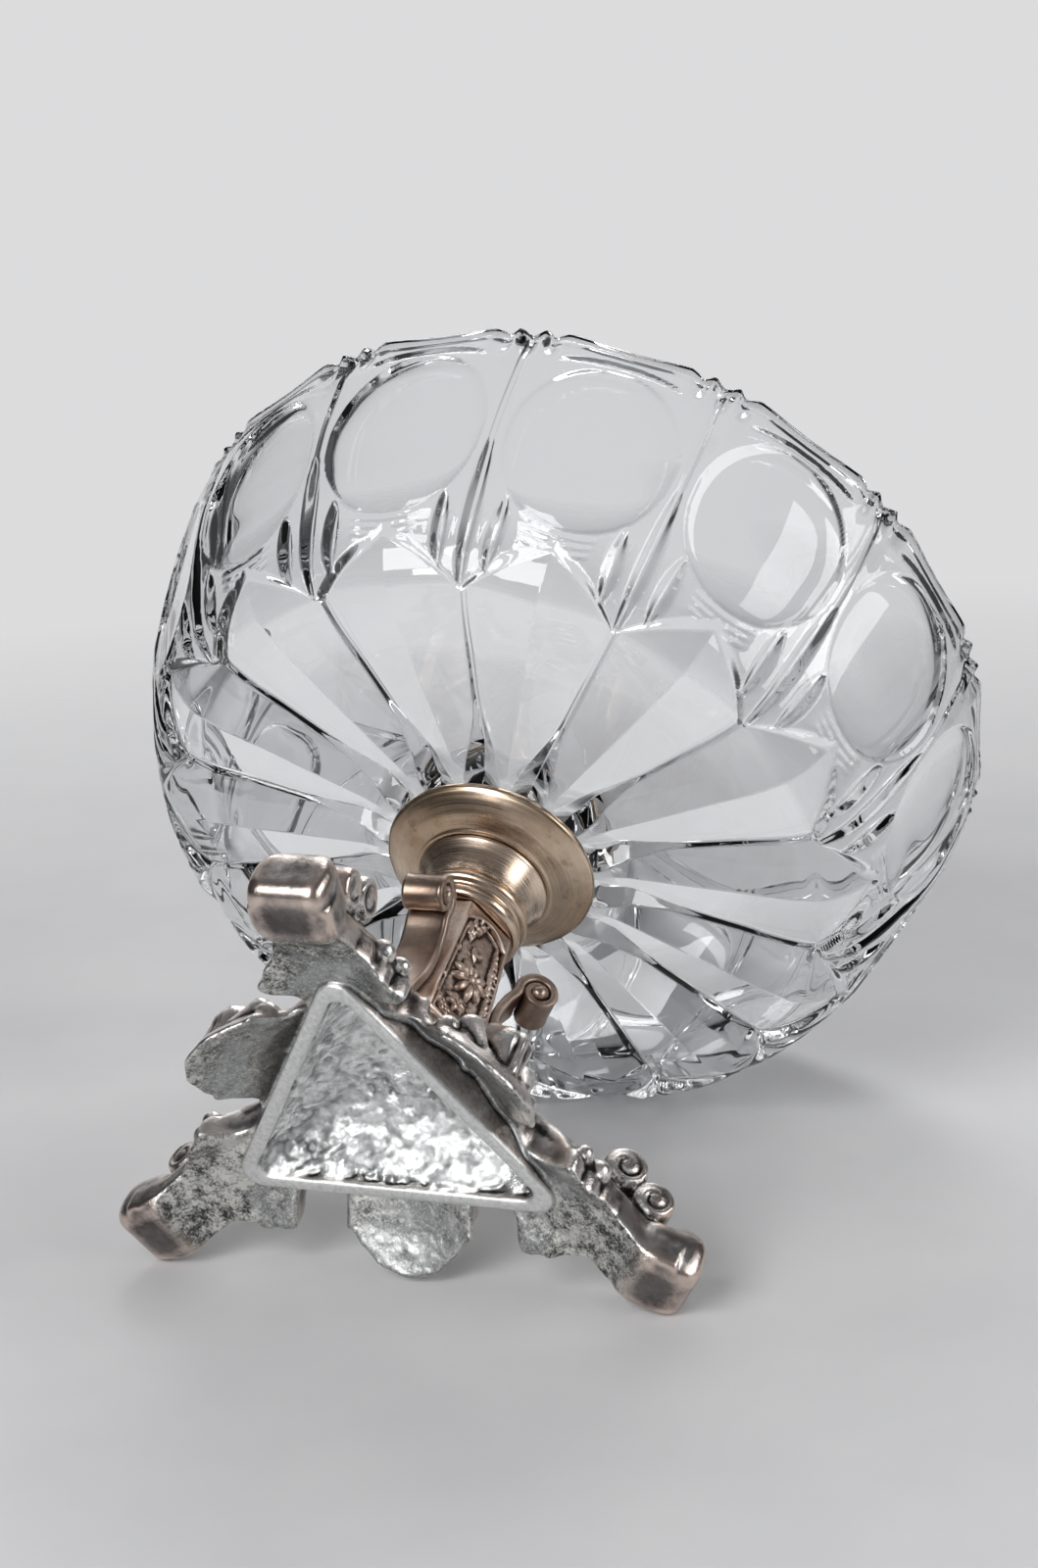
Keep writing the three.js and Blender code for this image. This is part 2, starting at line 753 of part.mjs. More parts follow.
const glassFinish = finish(0xf2f6fa, 0.03, 0);
glassFinish.transparent = true;
glassFinish.opacity = 0.35;
const plasterFinish = finish(0xd8d2c4, 0.9, 0);
const collarFinish = finish(0xb59a80, 0.28, 1);
const stemFinish = finish(0xa8876c, 0.4, 1);
const footFinish = finish(0x9c9a94, 0.42, 1);

const bowl = new THREE.Group();

function piece(name, geometry, material) {
  const mesh = new THREE.Mesh(geometry, material.clone());
  mesh.name = name;
  bowl.add(mesh);
}

piece('glass_bowl', glassBowl(), glassFinish);
piece('bowl_cement', bowlCement(), plasterFinish);
piece('collar_dish', collarDish(), collarFinish);
piece('neck_ring', neckRing(), collarFinish);
piece('stem_body', stemBody(), stemFinish);
legAngles.forEach((angle, i) => piece(`scroll_strap_${i + 1}`, scrollStrap(angle), stemFinish));
piece('foot_casting', footCasting(), footFinish);

export default bowl;
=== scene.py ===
# Footed fruit bowl lying on its side: cut glass, spun collar, cast stem with scroll straps, cast foot.
# Shapes are written in millimetres in the part's own frame and turned into metres when a piece is made.
import functools
import math

import bpy
import numpy as np
from mathutils import Matrix, Vector


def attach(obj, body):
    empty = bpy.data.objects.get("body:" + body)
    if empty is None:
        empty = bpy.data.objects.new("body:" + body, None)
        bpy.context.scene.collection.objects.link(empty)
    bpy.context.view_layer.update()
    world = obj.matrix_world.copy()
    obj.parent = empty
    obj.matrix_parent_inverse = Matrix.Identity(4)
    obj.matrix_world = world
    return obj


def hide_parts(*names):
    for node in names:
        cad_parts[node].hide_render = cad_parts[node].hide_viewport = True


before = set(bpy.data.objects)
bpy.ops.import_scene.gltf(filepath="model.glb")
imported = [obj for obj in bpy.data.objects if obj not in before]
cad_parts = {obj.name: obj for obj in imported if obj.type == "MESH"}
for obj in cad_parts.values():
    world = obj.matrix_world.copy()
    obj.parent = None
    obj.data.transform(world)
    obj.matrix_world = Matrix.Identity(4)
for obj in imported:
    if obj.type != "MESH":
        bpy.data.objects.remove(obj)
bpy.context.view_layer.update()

MM = 0.001
LEG_ANGLES = (-90, 30, 150)

# Glass: outlines are (radius, height), ways run along the outside from the seat to the rim
RIM_RADIUS = 110.0
RIM_HEIGHT = 172.5
SEGMENTS = 14
COLUMNS_PER_SEGMENT = 72
FAN_TURN = 10.0              # angle of the first fan of leaves
SEAT_HEIGHT = 99.2
FLOOR_INSIDE = 107.4
OUTSIDE = (
    (26.9, 99.2), (61.2, 99.3), (79.0, 99.7), (84.0, 100.8), (90.05, 105.2), (94.8, 112.7),
    (99.06, 122.3), (102.9, 131.8), (106.7, 146.8), (108.9, 161.7), (109.8, 170.1),
)
INSIDE = (
    (RIM_RADIUS - 5.3, RIM_HEIGHT - 3.0), (103.6, 160.5), (100.6, 148.0), (96.8, 136.6), (93.6, 127.5),
    (89.4, 118.7), (85.6, 114.0), (80.5, 111.0), (75.0, 109.2), (68.0, 108.0), (56.0, 107.5),
    (40.0, FLOOR_INSIDE), (20.0, FLOOR_INSIDE), (1.0, FLOOR_INSIDE),
)
PEG = ((1.0, 85.5), (7.2, 85.5), (8.0, 86.3), (8.0, 95.5), (24.1, 98.4), (24.8, SEAT_HEIGHT))
PETAL_DEPTH = 2.9
ARCH_STEP = 0.9
SPEAR_HALF_WIDTH = 4.8
SPEAR_LENGTH = 24.0
VALLEY_DEPTH = 0.7
OVAL_DEPTH = 2.9
OVAL_HALF_WIDTH = 20.8
OVAL_HALF_HEIGHT = 24.5
LEAF_DEPTH = 2.0
LEAF_HALF_WIDTH = 2.5
STEP_DEPTH = 0.6
STEP_RISES = (-3.4, -1.4, 0.6)
STEP_HALF_SPAN = 9.0
CRESCENT_DEPTH = 1.2
CRESCENT_HALF_SPAN = 15.0
GROOVE_DEPTH = 0.5
NOTCH_DEPTH = 1.7
# Depth of the rim's edge, from the middle of a fan (0) to the middle of an oval (1)
NOTCHES = (
    (0.0, 1.0), (0.05, 0.75), (0.133, 0.0), (0.2, 0.75), (0.24, 1.0), (0.3, 0.55), (0.373, 0.2),
    (0.507, 0.4), (0.753, 0.8), (1.0, 0.95),
)

# Collar and neck, as closed outlines of (radius, height)
COLLAR = (
    (10.2, 91.3), (16.9, 91.3), (17.6, 91.9), (19.4, 92.6), (21.2, 93.4), (24.2, 95.2), (26.0, 96.5),
    (26.6, 97.3), (26.6, 98.2), (26.1, 98.9), (25.3, 98.9), (25.1, 97.8), (23.7, 96.5), (20.5, 94.3),
    (16.5, 92.6), (10.2, 92.6),
)
NECK = (
    (7.2, 76.4), (7.2, 73.4), (12.7, 73.4), (13.4, 73.9), (14.0, 74.9), (14.0, 75.9), (13.4, 76.8),
    (13.0, 77.4), (13.3, 78.0), (14.4, 78.6), (14.9, 79.7), (14.5, 80.9), (13.5, 81.5), (13.3, 82.3),
    (13.6, 84.0), (14.2, 86.0), (15.0, 88.0), (16.0, 89.8), (16.4, 90.4), (16.4, 91.0), (10.2, 91.0),
    (10.2, 76.4),
)
COLLAR_ROUNDING = 0.5
NECK_ROUNDING = 0.55
LATHE_STEPS = 288

# Stem
STEM_BOTTOM = 30.0
STEM_TOP = 73.1
# Way out from the axis at the foot, at the waist and at the top
PANEL_WAYS = (17.3, 12.6, 10.4)
CORNER_WAYS = (18.4, 14.0, 11.6)
PANEL_SINK = 1.2
PANEL_ARCH_TOP = 71.6
PANEL_FOOT = 31.6
FLOWER_HEIGHT = 52.0
FLOWER_RADIUS = 5.6
STEM_CELL = 0.28
MAP_STEP = 0.12
MAP_HALF = 14.0

# Straps
STRAP_WIDTH = 10.6
STRAP_THICKNESS = 2.2
VOLUTE_RADIUS = 6.0
VOLUTE_REACH = 22.6
VOLUTE_HEIGHT = 62.5
VOLUTE_TURNS = (196, -430)   # where the spiral starts and ends, in degrees
EYE_STEPS = 40
# Edge of the boss through the roll: radius, aside
EYE_EDGE = ((0.2, 6.3), (1.0, 6.2), (1.7, 5.7), (2.0, 4.9))

# Foot: tops and undersides are (way out from the axis, height), widths are (way out, half width)
FOOT_RADIUS = 73.5
FOOT_ROLL = 6.8
FOOT_WIDTH = 18.4
SKIRT_RADIUS = 41.0
SKIRT_THICKNESS = 3.2
WALL_APOTHEM = 24.5
WALL_WIDTH = 3.2
WALL_CORNER = 5.0
HOLLOW_CORNER = WALL_CORNER - 1.8
WALL_BOTTOM = 9.1
HOLLOW_TOP = 25.0
LOBE_RADIUS = 16.3
LOBE_CENTRE = 29.0
LOBE_START = 36.5
NOTCH_RADIUS = 5.8
NOTCH_OUT = 31.0
NOTCH_SIDE = 21.8
FOOT_CELL = 0.5
SHELL_TOP = ((20.5, 29.7), (24.0, 23.6), (30.0, 18.0), (37.0, 13.4), (42.5, 8.4), (45.0, 5.8), (50.0, 3.0))
BESIDE_LEG = ((20.5, 29.7), (26.5, 23.6), (36.0, 18.2), (48.0, 14.8), (58.0, 12.0))
LEG_WIDTH = (
    (8, 9), (21, 13), (30, 16.5), (36, 17.8), (43, 17.4), (47, 15), (51, 12.8), (57, 9.6), (64.5, 9.4),
    (69, 10),
)
LEG_TOP = (
    (8, 29.7), (21, 29.6), (34, 26.6), (41, 24.0), (50, 20.8), (57, 17.6), (65, 13.4), (74, 12.6),
    (80, 12.0),
)
LEG_LOW = ((8, 24), (21, 22), (34, 13.4), (41, 11.6), (50, 9.4), (57.5, 7), (64.5, 2.6), (69, 1.2))
# Size of the hollow at each height, as a share of its size at the bottom
HOLLOW_SHARES = ((8.1, 1.0), (12.3, 0.97), (17.4, 0.86), (21.6, 0.66), (HOLLOW_TOP, 0.3))
# Scrolls across a leg: middle (out, height), radius, half width, rounding
LEG_SCROLLS = (((56.2, 24.0), 5.5, 7.4, 2.2), ((64.6, 18.0), 5.1, 7.9, 2.0))
TOE_SCROLL = ((FOOT_RADIUS + 1.4, 12.2), 3.6, 6.8, 2.6)
# Beads on a leg: middle (out, aside, height), radius, blend
LEG_BEADS = (((49.8, 11.4, 14.8), 3.1, 0.5), ((45.0, 14.2, 15.4), 2.5, 0.5), ((48.0, 0.0, 22.6), 2.8, 0.6))
# Leaf over a shell: stops along its spine and along the scroll beside it, and a ball close to each,
# every one a place (out, aside, height) and a radius
LEAF_SPINE = (((26.0, 0, 22.0), 3.4), ((32.5, 0, 21.8), 4.6), ((38.6, 0, 18.0), 4.6), ((41.4, 0, 10.4), 2.4))
LEAF_CURL = (((28.5, 5.6, 20.2), 2.4), ((34.5, 8.8, 18.4), 3.1), ((38.6, 7.4, 12.6), 1.8))
SPINE_BALL = ((41.6, 0, 8.6), 2.2)
CURL_BALL = ((32.6, 13.2, 15.0), 3.0)
# Scrolls in relief beside a shell's leaf: middle (out, aside), radius
SKIRT_SCROLLS = (((27.5, 9.2), 3.5), ((24.6, 15.4), 2.7))

# Camera and light: places in metres, powers in watts
CAMERA_PLACE = (0.280102, 0.461096, -0.412323)
CAMERA_RIGHT = (-0.63344, 0.71828, 0.28779)
CAMERA_AHEAD = (-0.36457, -0.60509, 0.70778)
LENS = 68.94
BOWL_MIDDLE = Vector((0.0, 0.0, 0.08))
TABLE_GAP = 0.0002
TABLE_FADE = (0.26, 0.7)
# Lamps: place to the right, to the back and up from the middle of the bowl, size and power
LAMPS = (
    ("key_lamp", (-0.45, -0.75, 0.6), (0.55, 0.55), 7.0),
    ("fill_lamp", (0.8, -0.3, 0.3), (0.35, 0.7), 3.0),
    ("small_lamp", (-0.4, -0.95, 0.28), (0.18, 0.18), 1.4),
    ("back_lamp", (0.1, 0.75, 0.65), (0.8, 0.25), 3.0),
)


# Small helpers

def clamp01(x):
    return np.clip(x, 0.0, 1.0)


def smooth(x):
    x = clamp01(x)
    return x * x * (3.0 - 2.0 * x)


def lerp(a, b, t):
    return a + (b - a) * t


def peak(x):
    """1 at 0, falling straight to 0 at 1."""
    return np.maximum(0.0, 1.0 - x)


def arched(x):
    """1 at 0, falling in a round arch to 0 at 1."""
    return np.sqrt(peak(x**2))


def polar(radius, turn):
    return radius * np.cos(turn), radius * np.sin(turn)


def line_at(x, middle, width):
    """A soft line: 1 at the middle, fading to both sides."""
    return np.exp(-((x - middle) / width)**2)


def along(pairs, x):
    xs, ys = zip(*pairs)
    return np.interp(x, xs, ys)


def way_along(p):
    return np.r_[0.0, np.cumsum(np.linalg.norm(np.diff(p, axis=0), axis=1))]


def curved(points, count):
    """A smooth line through the points, evenly parted by the straight way between them."""
    p = np.array(points, float)
    way = way_along(p)
    slope = np.gradient(p, way, axis=0)
    t = np.linspace(0.0, way[-1], count)
    i = np.clip(np.searchsorted(way, t, side="right") - 1, 0, len(p) - 2)
    span = (way[i + 1] - way[i])[:, None]
    s = ((t - way[i])[:, None]) / span
    line = (2 * s**3 - 3 * s**2 + 1) * p[i] + (s**3 - 2 * s**2 + s) * span * slope[i]
    line += (3 * s**2 - 2 * s**3) * p[i + 1] + (s**3 - s**2) * span * slope[i + 1]
    return t, line


def soft_max(a, b, r):
    h = clamp01(0.5 + 0.5 * (a - b) / r)
    return lerp(b, a, h) + r * h * (1.0 - h)


def soft_min(a, b, r):
    return -soft_max(-a, -b, r)


def lattice_noise(x, y, z, seed):
    """Smooth noise between -1 and 1, about one change per unit."""
    table = np.random.default_rng(seed).uniform(-1.0, 1.0, (32, 32, 32)).astype(np.float32)
    cell = [np.floor(v).astype(np.int64) for v in (x, y, z)]
    part = [smooth(v - c) for v, c in zip((x, y, z), cell)]
    total = 0.0
    for corner in np.ndindex(2, 2, 2):
        a, b, c = [p if ahead else 1 - p for p, ahead in zip(part, corner)]
        total = total + a * b * c * table[tuple((at + ahead) % 32 for at, ahead in zip(cell, corner))]
    return total


def even_turns(steps):
    return np.linspace(0.0, 2 * math.pi, steps, endpoint=False)


def show(name, data):
    """A new object of the data, linked to the scene."""
    item = bpy.data.objects.new(name, data)
    bpy.context.scene.collection.objects.link(item)
    return item


def make_piece(name, points, faces, material, node, caps=()):
    """A mesh of quads, and of one flat face for each cap, that rides on the bowl's one body."""
    mesh = bpy.data.meshes.new(name)
    corners = np.concatenate([faces.ravel(), *caps]).astype(np.int32)
    sizes = np.r_[np.full(len(faces), 4), [len(cap) for cap in caps]]
    starts = np.r_[0, np.cumsum(sizes)[:-1]].astype(np.int32)
    mesh.vertices.add(len(points))
    mesh.vertices.foreach_set("co", (points * MM).ravel())
    mesh.loops.add(len(corners))
    mesh.loops.foreach_set("vertex_index", corners)
    mesh.polygons.add(len(starts))
    mesh.polygons.foreach_set("loop_start", starts)
    mesh.update(calc_edges=True)
    mesh.validate()
    mesh.polygons.foreach_set("use_smooth", np.ones(len(mesh.polygons), bool))
    mesh.materials.append(material)
    piece = show(name, mesh)
    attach(piece, "root")
    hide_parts(node)
    return piece


def piece_points(piece):
    """The piece's points in metres, one row each."""
    flat = np.empty(len(piece.data.vertices) * 3, np.float32)
    piece.data.vertices.foreach_get("co", flat)
    return flat.reshape(-1, 3)


def grid_faces(rows, columns, closed_rows=False):
    """Quads between rows of points, each row a closed ring."""
    row = np.arange(rows if closed_rows else rows - 1)[:, None]
    column = np.arange(columns)[None, :]
    ahead = (row + 1) % rows
    beside = (column + 1) % columns
    row, ahead = row * columns, ahead * columns
    quads = (row + column, row + beside, ahead + beside, ahead + column)
    return np.stack(np.broadcast_arrays(*quads), axis=-1).reshape(-1, 4)


def end_caps(rows, columns, first=0):
    """The first ring and the last ring of a grid, each as one face."""
    ring = np.arange(columns)
    return [ring[::-1] + first, ring + (rows - 1) * columns + first]


def lathe(name, profile, material, node):
    """A closed profile of (radius, height), anticlockwise, turned round the axis."""
    p = np.array(profile, float)
    height = np.repeat(p[:, 1, None], LATHE_STEPS, axis=1)
    points = np.stack([*polar(p[:, :1], even_turns(LATHE_STEPS)), height], -1).reshape(-1, 3)
    return make_piece(name, points, grid_faces(len(p), LATHE_STEPS, True), material, node)


def rounded_profile(corners, radius, parts=5):
    """The closed profile with each corner rounded by up to the radius."""
    p = np.array(corners, float)
    out = []
    for i, here in enumerate(p):
        ends = []
        for other in (p[i - 1], p[(i + 1) % len(p)]):
            gap = np.linalg.norm(other - here)
            ends.append(here + (other - here) / gap * min(radius, gap * 0.45))
        start, end = ends
        for t in np.linspace(0.0, 1.0, parts):
            out.append((1 - t)**2 * start + 2 * t * (1 - t) * here + t**2 * end)
    return out


# Materials

def rgba(color):
    """Four parts from three, or from one grey value."""
    if isinstance(color, float):
        color = (color, color, color)
    return (*color, 1.0)


class Look:
    """The nodes of a material or of the world, with short ways to add and join them."""

    def __init__(self, owner, shader):
        owner.use_nodes = True
        self.nodes = owner.node_tree.nodes
        self.links = owner.node_tree.links
        self.shader = self.nodes[shader]

    def give(self, socket, value):
        if isinstance(value, bpy.types.NodeSocket):
            self.links.new(value, socket)
        else:
            socket.default_value = value

    def set(self, name, value):
        """Give one of the shader's inputs a value or an output."""
        self.give(self.shader.inputs[name], value)

    def new(self, kind, **inputs):
        node = self.nodes.new("ShaderNode" + kind)
        for name, value in inputs.items():
            self.give(node.inputs[name], value)
        return node

    def place(self, kind="Object"):
        return self.new("TexCoord").outputs[kind]

    def attribute(self, name):
        node = self.new("Attribute")
        node.attribute_name = name
        return node.outputs["Fac"]

    def noise(self, vector, scale, detail, roughness=0.55):
        node = self.new("TexNoise", Vector=vector, Scale=scale, Detail=detail, Roughness=roughness)
        return node.outputs["Fac"]

    def ramp(self, value, stops):
        node = self.new("ValToRGB", Fac=value)
        elements = node.color_ramp.elements
        while len(elements) < len(stops):
            elements.new(0.5)
        for element, (place, color) in zip(elements, stops):
            element.position = place
            element.color = rgba(color)
        return node.outputs["Color"]

    def step(self, value, start, end, first=0.0, last=1.0):
        """A grey that goes from first to last while the value goes from start to end."""
        return self.ramp(value, [(start, first), (end, last)])

    def mixed(self, factor, a, b):
        node = self.new("Mix")
        node.data_type = "RGBA"
        self.give(node.inputs[0], factor)
        for socket, color in ((node.inputs[6], a), (node.inputs[7], b)):
            self.give(socket, color if isinstance(color, bpy.types.NodeSocket) else rgba(color))
        return node.outputs[2]

    def maths(self, operation, a, b=0.0):
        node = self.new("Math")
        node.operation = operation
        self.give(node.inputs[0], a)
        self.give(node.inputs[1], b)
        return node.outputs[0]

    def times(self, a, b):
        return self.maths("MULTIPLY", a, b)

    def plus(self, a, b):
        return self.maths("ADD", a, b)

    def vector(self, operation, a, b=(0.0, 0.0, 0.0)):
        node = self.new("VectorMath")
        node.operation = operation
        self.give(node.inputs[0], a)
        self.give(node.inputs[1], b)
        return node.outputs["Value"]

    def from_axis(self, place):
        """The way out from the vertical axis, and the height."""
        x, y, z = self.new("SeparateXYZ", Vector=place).outputs
        return self.maths("SQRT", self.plus(self.times(x, x), self.times(y, y))), z

    def bump(self, height, strength, distance):
        node = self.new("Bump", Strength=strength, Distance=distance, Height=height)
        self.set("Normal", node.outputs["Normal"])


def new_material(name, color, metallic, roughness):
    material = bpy.data.materials.new(name)
    look = Look(material, "Principled BSDF")
    look.set("Base Color", rgba(color))
    look.set("Metallic", metallic)
    look.set("Roughness", roughness)
    return material, look


def glass_material():
    """Clear glass with a thin veil and specks of dust."""
    material, look = new_material("clear_cut_glass", 1.0, 0.0, 0.01)
    look.set("Transmission Weight", 1.0)
    look.set("IOR", 1.57)
    place = look.place()
    dust = look.step(look.noise(place, 900.0, 2.0), 0.70, 0.78)
    veil_and_shade = look.step(look.noise(place, 22.0, 4.0), 0.45, 0.75)
    look.set("Roughness", look.plus(look.times(dust, 0.22), look.times(veil_and_shade, 0.03)))
    look.set("Base Color", look.mixed(veil_and_shade, (0.955, 0.965, 0.975), (0.92, 0.935, 0.95)))
    return material


def spun_material(name, bright, brown, dark):
    """Plate worn on the lathe: fine rings, brown patches and dark tarnish."""
    material, look = new_material(name, bright, 1.0, 0.3)
    look.set("Anisotropic", 0.55)
    place = look.place()
    radius, height = look.from_axis(place)
    rings_place = look.new("CombineXYZ", X=radius, Y=height).outputs["Vector"]
    rings = look.noise(rings_place, 2600.0, 3.0, 0.7)
    wide_rings = look.noise(rings_place, 420.0, 3.0, 0.6)
    patches = look.noise(place, 38.0, 6.0, 0.6)
    tarnish = look.noise(place, 230.0, 6.0, 0.7)
    color = look.ramp(patches, [(0.36, brown), (0.62, bright)])
    color = look.mixed(look.step(wide_rings, 0.4, 0.75, 0.0, 0.3), color, brown)
    color = look.mixed(look.step(tarnish, 0.60, 0.74, 0.0, 0.75), color, dark)
    look.set("Base Color", color)
    look.set("Roughness", look.step(rings, 0.3, 0.7, 0.15, 0.34))
    look.bump(rings, 0.2, 0.00003)
    return material


def worn_and_shaded_material(name, bright, brown, dark, grain):
    """Cast plate: worn bright in patches, brown between, with painted shade nearly black in the recesses."""
    material, look = new_material(name, bright, 1.0, 0.34)
    place = look.place()
    patches = look.noise(place, 75.0, 6.0, 0.65)
    fine = look.noise(place, grain, 5.0, 0.7)
    tone = look.ramp(patches, [(0.35, brown), (0.62, bright)])
    # Painted shade: the recess measure darkens the plate nearly to black in the recesses; the same mask
    # makes it rougher there.
    veil_and_shade = look.step(look.plus(look.attribute("recess"), look.times(fine, 0.3)), 0.62, 0.85)
    look.set("Base Color", look.mixed(veil_and_shade, tone, dark))
    rough = look.mixed(veil_and_shade, 0.27, 0.6)
    look.set("Roughness", look.mixed(look.times(fine, 0.5), rough, 0.5))
    look.bump(fine, 0.35, 0.00012)
    return material


def foot_upper(look, sunk, patches, grains):
    """Upper side: near white on the raised edges, partly wear and partly painted highlight, browner between,
    and painted shade nearly black in the recesses.
    """
    tone = look.ramp(patches, [(0.35, (0.46, 0.38, 0.34)), (0.6, (0.70, 0.66, 0.63))])
    # Painted shade: the recess measure darkens the top nearly to black in the recesses.
    veil_and_shade = look.step(look.plus(sunk, look.times(grains, 0.25)), 0.57, 0.76)
    # Near white on the raised edges: partly wear, partly painted highlight.
    rubbed_edge_highlight = look.step(sunk, 0.12, 0.42, 1.0, 0.0)
    return look.mixed(rubbed_edge_highlight, look.mixed(veil_and_shade, tone, (0.03, 0.027, 0.027)), (0.86, 0.82, 0.79))


def foot_skirt(look, reach, patches, lumps, sand):
    """Underside: grey with pale sand near the wall, a dark crust with white oxide further out."""
    tone = look.ramp(lumps, [(0.35, (0.26, 0.27, 0.27)), (0.65, (0.50, 0.51, 0.51))])
    pale = look.times(look.step(sand, 0.5, 0.62), 0.65)
    tone = look.mixed(pale, tone, (0.80, 0.79, 0.75))
    dark = look.step(look.plus(patches, look.times(reach, 7.0)), 0.76, 0.88)
    crust_at = look.plus(look.times(lumps, 0.6), look.times(sand, 0.5))
    crust_at = look.plus(crust_at, look.times(patches, 0.6))
    crust = look.ramp(crust_at, [(0.8, (0.05, 0.05, 0.048)), (0.94, (0.8, 0.79, 0.75))])
    return look.mixed(look.times(dark, 0.92), tone, crust)


def foot_hollow(look, sunk, lumps, grains):
    """Hollow inside the triangular wall: bright lumps, with painted shade darkening the pits."""
    bright = look.ramp(lumps, [(0.38, (0.5, 0.51, 0.51)), (0.56, (0.94, 0.95, 0.95))])
    # Painted shade: the recess measure darkens the pits of the hollow.
    pit_shade = look.step(look.plus(sunk, look.times(grains, 0.25)), 0.68, 0.92, 0.0, 0.6)
    return look.mixed(pit_shade, bright, 0.2)


def foot_bronze(look, sunk, under, patches, lumps):
    """Rolled feet: smooth dark bronze with painted shade darker on their undersides, worn through to copper
    on their edges.
    """
    bronze = look.ramp(patches, [(0.4, (0.17, 0.15, 0.138)), (0.58, (0.64, 0.6, 0.575))])
    # Painted shade: the bronze darkens where the surface faces down.
    bronze = look.mixed(look.times(under, 0.8), bronze, (0.09, 0.08, 0.078))
    copper = look.step(look.plus(sunk, look.times(lumps, 0.3)), 0.42, 0.6, 1.0, 0.0)
    return look.mixed(copper, bronze, (0.72, 0.6, 0.53))


def foot_material():
    """Cast foot: plate on top, bright hollow, satin wall, speckled skirt and copper-worn feet."""
    material, look = new_material("cast_foot", 0.6, 1.0, 0.35)
    place = look.place()
    reach, _ = look.from_axis(place)
    sunk, under, hollow, land = [look.attribute(name) for name in ("recess", "under", "hollow", "land")]
    patches = look.noise(place, 70.0, 6.0, 0.65)
    grains = look.noise(place, 850.0, 5.0, 0.7)
    sand = look.noise(place, 1500.0, 3.0, 0.8)
    lumps = look.noise(place, 330.0, 6.0, 0.72)
    lower = look.mixed(hollow, foot_skirt(look, reach, patches, lumps, sand),
                       foot_hollow(look, sunk, lumps, grains))
    satin_metal = look.ramp(grains, [(0.35, (0.70, 0.71, 0.70)), (0.6, (0.90, 0.90, 0.89))])
    lower = look.mixed(land, lower, satin_metal)
    under = look.maths("MAXIMUM", under, look.maths("MAXIMUM", hollow, land))
    color = look.mixed(under, foot_upper(look, sunk, patches, grains), lower)
    far_out = look.maths("SUBTRACT", look.times(reach, 62.0), 3.9)
    toe = look.step(look.plus(far_out, look.times(patches, 0.4)), 0.25, 0.55)
    color = look.mixed(toe, color, foot_bronze(look, sunk, under, patches, lumps))
    look.set("Base Color", color)
    rough = look.mixed(under, 0.2, 0.36)
    for where, value in ((hollow, 0.185), (land, 0.42), (toe, 0.16), (look.times(grains, 0.35), 0.5)):
        rough = look.mixed(where, rough, value)
    look.set("Roughness", rough)
    cast_lumps = look.times(lumps, look.plus(0.5, look.times(hollow, 5.0)))
    look.bump(look.plus(cast_lumps, grains), 0.5, 0.0002)
    return material


def plaster_material():
    """Crumbly off-white bedding."""
    material, look = new_material("bedding_plaster", (0.8, 0.77, 0.7), 0.0, 0.85)
    place = look.place()
    clumps = look.noise(place, 240.0, 5.0)
    look.set("Base Color", look.ramp(clumps, [(0.35, (0.62, 0.58, 0.51)), (0.65, (0.85, 0.82, 0.76))]))
    look.bump(look.noise(place, 1200.0, 4.0), 0.4, 0.0002)
    return material


glass_finish = glass_material()
collar_finish = spun_material("spun_collar", (0.76, 0.61, 0.47), (0.40, 0.27, 0.17), (0.13, 0.085, 0.06))
neck_finish = spun_material("spun_neck", (0.78, 0.64, 0.52), (0.48, 0.34, 0.24), (0.12, 0.08, 0.06))
stem_finish = worn_and_shaded_material("cast_stem", (0.70, 0.57, 0.49), (0.43, 0.31, 0.24), (0.05, 0.035, 0.03), 900.0)
strap_finish = worn_and_shaded_material("strap_band", (0.52, 0.41, 0.34), (0.28, 0.2, 0.155), (0.08, 0.06, 0.05), 700.0)
foot_finish = foot_material()


# Grid surfaces: a field of distances is sampled near the surface and joined into a net of quads

def field_on_grid(field, low, high, cell):
    """Distances on a grid, worked out finely only in the blocks that the surface may cross."""
    block = 4
    shape = [int(math.ceil((h - b) / cell / block)) * block for b, h in zip(low, high)]
    axes = [b + cell * np.arange(n, dtype=np.float32) for b, n in zip(low, shape)]
    coarse_axes = [a[::block] + cell * (block - 1) / 2 for a in axes]
    cx, cy, cz = np.meshgrid(*coarse_axes, indexing="ij")
    coarse = field(cx.ravel(), cy.ravel(), cz.ravel()).reshape(cx.shape)
    full = np.repeat(np.repeat(np.repeat(coarse, block, 0), block, 1), block, 2).astype(np.float32)
    near = np.argwhere(np.abs(coarse) < cell * block * 1.7)
    inner = np.array(list(np.ndindex(block, block, block)))
    for part in np.array_split(near, max(1, len(near) // 20000)):
        spots = (part[:, None] * block + inner).reshape(-1, 3)
        full[tuple(spots.T)] = field(*[axis[place] for axis, place in zip(axes, spots.T)])
    for end in (0, -1):
        full[end] = full[:, end] = full[:, :, end] = 1.0
    return full


def sums(index, rows):
    """Rows added up by the point that each belongs to."""
    return np.stack([np.bincount(index, weights=rows[:, k]) for k in range(3)], -1)


def crossings(values, axis):
    """Grid edges along an axis where the sign changes: where they start, cross and face outward."""
    cross = np.argwhere(np.diff(values < 0, axis=axis))
    far = cross.copy()
    far[:, axis] += 1
    a, b = values[tuple(cross.T)], values[tuple(far.T)]
    spot = cross.astype(float)
    spot[:, axis] += a / (a - b)
    return cross, spot, a < 0


